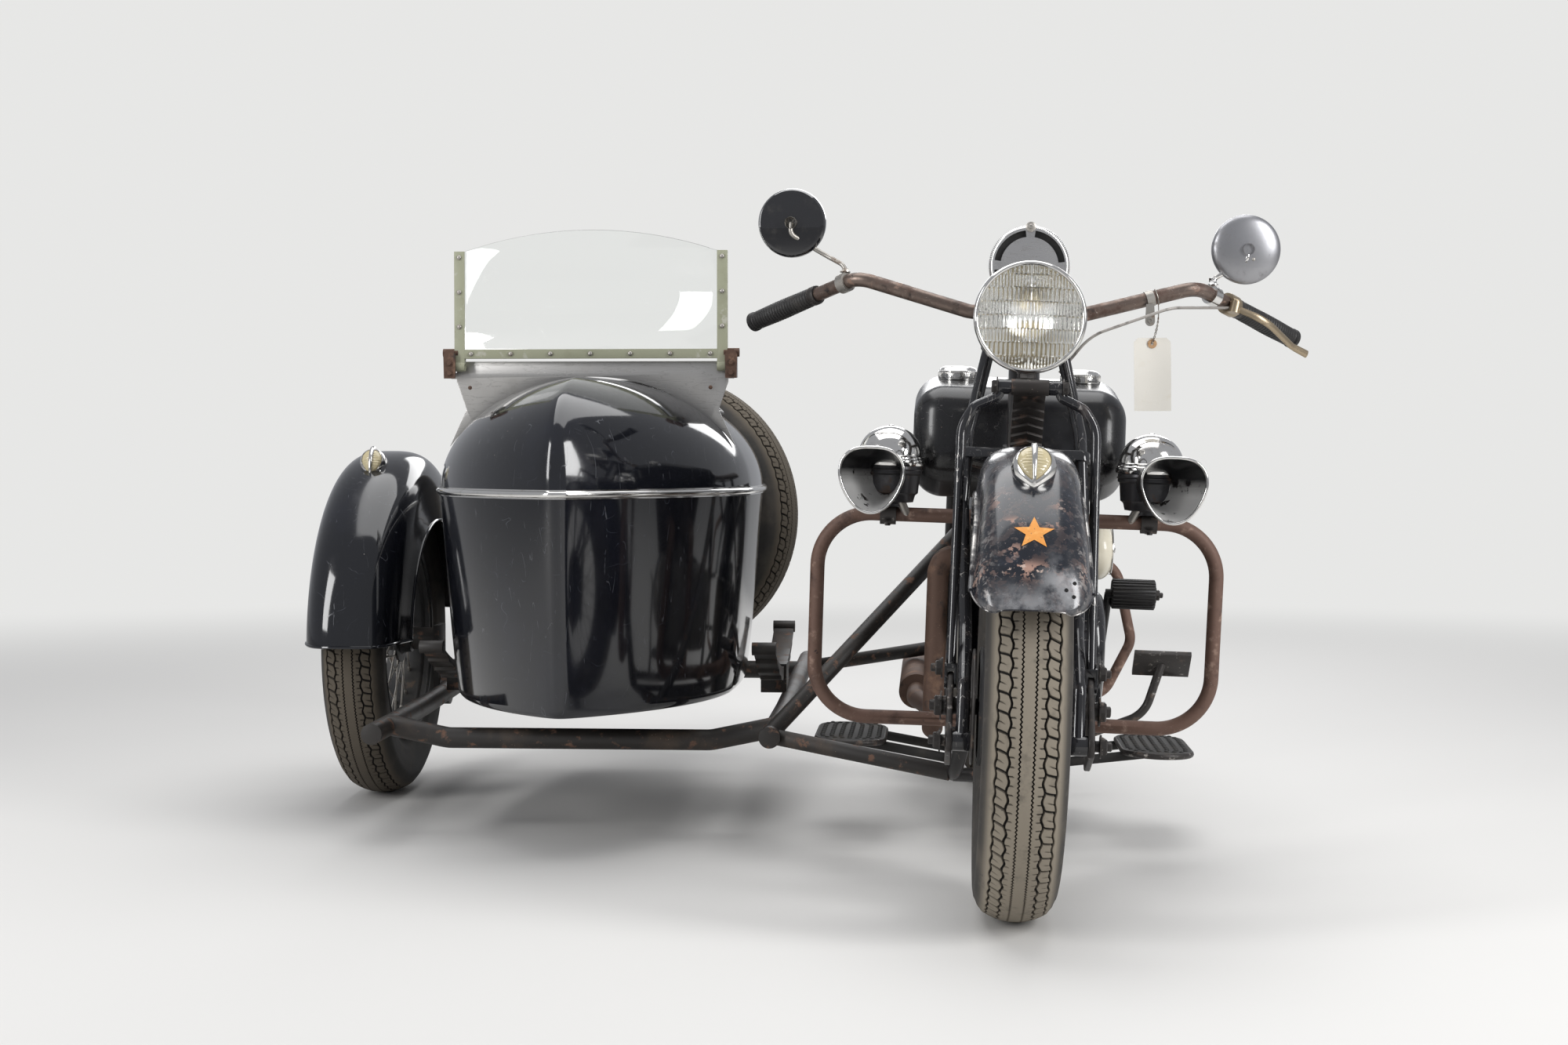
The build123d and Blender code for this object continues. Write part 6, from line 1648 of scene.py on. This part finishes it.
ring = round_turn(72)
saddle_rows = []
for share in np.linspace(0, 1, 80):
    row = saddle_row(share, ring) + vec(0, 0, saddle_floor + 0.004)
    across = np.abs(row[:, 0]) / max(np.abs(row[:, 0]).max(), 1e-4)
    row[:, 2] -= 0.0022 * np.exp(-((across - 0.86) / 0.03) ** 2) * (np.sin(ring) > 0)
    saddle_rows.append(row)
saddle = piece("saddle_pad", [grid(saddle_rows, around=True)], saddle_hide, replaces="saddle", angle=180)
stud_edge = [saddle_row(share, np.zeros(1))[0] for share in np.linspace(0.02, 0.98, 30)[3:-2:2]]
piece("saddle_studs", [rivet((side * x, y, saddle_floor - 0.001), (side * 0.9, 0, 0.3), 3.4, 1.8)
                       for x, y, _ in stud_edge for side in (-1, 1)], dull_plate)
dressed(frame_black, 0.6, "saddle_springs")

# Rear mudguard and lamp
# The same pressing as the front guard over the rear wheel, a round red lamp on a plain bracket, and a bare
# black plate bolted below it.
rear_drop = 0.100
rear_half = 0.077
rear_points = guard_points((0, wheelbase, tyre_radius), guard_outer, rear_drop, rear_half, radians(12),
                           radians(192), 220, 61, flare=0.003, ends=radians(2))
guard("rear_mudguard", rear_points, satin_black, "chassis", leaning, "rear_fender", bead_paint=bead_enamel)
dressed(satin_black, 2.0, "tail_lamp")
tail_red = finish("tail_red", (0.42, 0.01, 0.008), 0.14, Transmission_Weight=0.3, Coat_Weight=0.5,
                  slot="clear_glass", layers=[
    patches(60, 0.45, 0.3, (0.26, 0.008, 0.008), 0.25, strength=0.7)])
tail = (0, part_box("tail_lamp")[1][1] - ground_point[1] - 0.001, 0.5630)
tail_dome = [(0, 21.5), (4, 21.2), (8, 18), (10.5, 10), (11, 0.1)]
tail_ring = [(-3, 25.5), (2, 26.2), (4, 25), (4.5, 22.5), (2, 21.2), (-3, 21.5)]
piece("tail_lens", [lathe(tail_dome, tail, backward, 48)], tail_red, closed=False)
piece("tail_rim", [lathe(tail_ring, tail, backward, 60, closed=True)], old_chrome)
dressed(frame_black, 1.0, "number_plate")

# Chain
# A roller chain from the gearbox round the rear wheel's sprocket, oily and rusted.
dressed(oily_steel, 0, "chain")

# Foot controls
# Ribbed rubber footboards on steel plates, a flat brake pedal, and a kick starter with a ribbed rubber pedal.
dressed(mat_rubber, 1.5, "footboards")
dressed(worn_forging, 1.5, "foot_controls")
dressed(grip_rubber, 1.5, "kick_starter")
board_middle = vec(0.292, 0.805, 0.186)
board_straight = 0.080
board_edge = 0.0635
pip_reach = 0.054
pip_pitch = 0.0195
end_turn = np.linspace(0, pi, 25)
pips = []
board_edges = []
for side in (-1, 1):
    middle = board_middle * vec(side, 1, 1)
    line = [middle + vec(way * board_edge * cos(t), way * (board_straight + board_edge * sin(t)), -0.006)
            for way in (1, -1) for t in end_turn]
    board_edges.append(sweep(line, 6.2, 10, closed=True))
    for row in np.arange(-6, 7) * pip_pitch:
        past = max(abs(row) - board_straight, 0)
        reach = sqrt(pip_reach ** 2 - past ** 2 * 0.8)
        pips += [rivet(middle + vec(across, row, -0.0005), skyward, 5.2, 3.2)
                 for across in np.linspace(-reach, reach, 7)]
piece("footboard_pips", pips, mat_rubber)
piece("footboard_edges", board_edges, worn_forging)
pedal_axis = vec(0, 0.870, 0.470)
pedal_ribs = np.clip(np.sin(round_turn(288) * 24) * 3, 0, 1)
sleeve_rows = [(0.2055, 0.0002, 0), (0.2055, 0.0262, 0), (0.2075, 0.0275, 1), (0.2885, 0.0275, 1),
               (0.2905, 0.0262, 0), (0.2905, 0.0002, 0)]
pedal_sleeve = grid(toothed(sleeve_rows, pedal_ribs, 0.0024, pedal_axis), around=True)
piece("kick_pedal_rubber", [pedal_sleeve], grip_rubber, closed=False)
pedal_end = pedal_axis + vec(0.2905, 0, 0)
pedal_stud = lathe([(8, 5.5), (14, 5.5), (15.5, 4), (15.5, 0.1)], pedal_end, (1, 0, 0), 20)
piece("kick_pedal_nut", [*hexagon(pedal_end, (1, 0, 0), 20, 9), pedal_stud], worn_forging)

# Sidecar chassis
# Two steel rails and cross tubes carry the body on leaf and coil springs and tie it to the motorcycle by
# ball-ended struts. All of it is black enamel under road dust.
road_dust = finish("road_dust", (0.02, 0.017, 0.015), 0.5, bump=0.0005, layers=[
    patches(9, 0.55, 0.3, (0.095, 0.068, 0.05), 0.85, strength=0.8),
    patches(40, 0.38, 0.1, (0.15, 0.085, 0.058), 0.85),
    specks(160, 0.72, (0.26, 0.18, 0.13), 0.85, height=-0.5)])
dressed(road_dust, 0.6, "sidecar_chassis")
dressed(road_dust, 0.8, "sidecar_springs", "sidecar_struts", "spare_carrier")
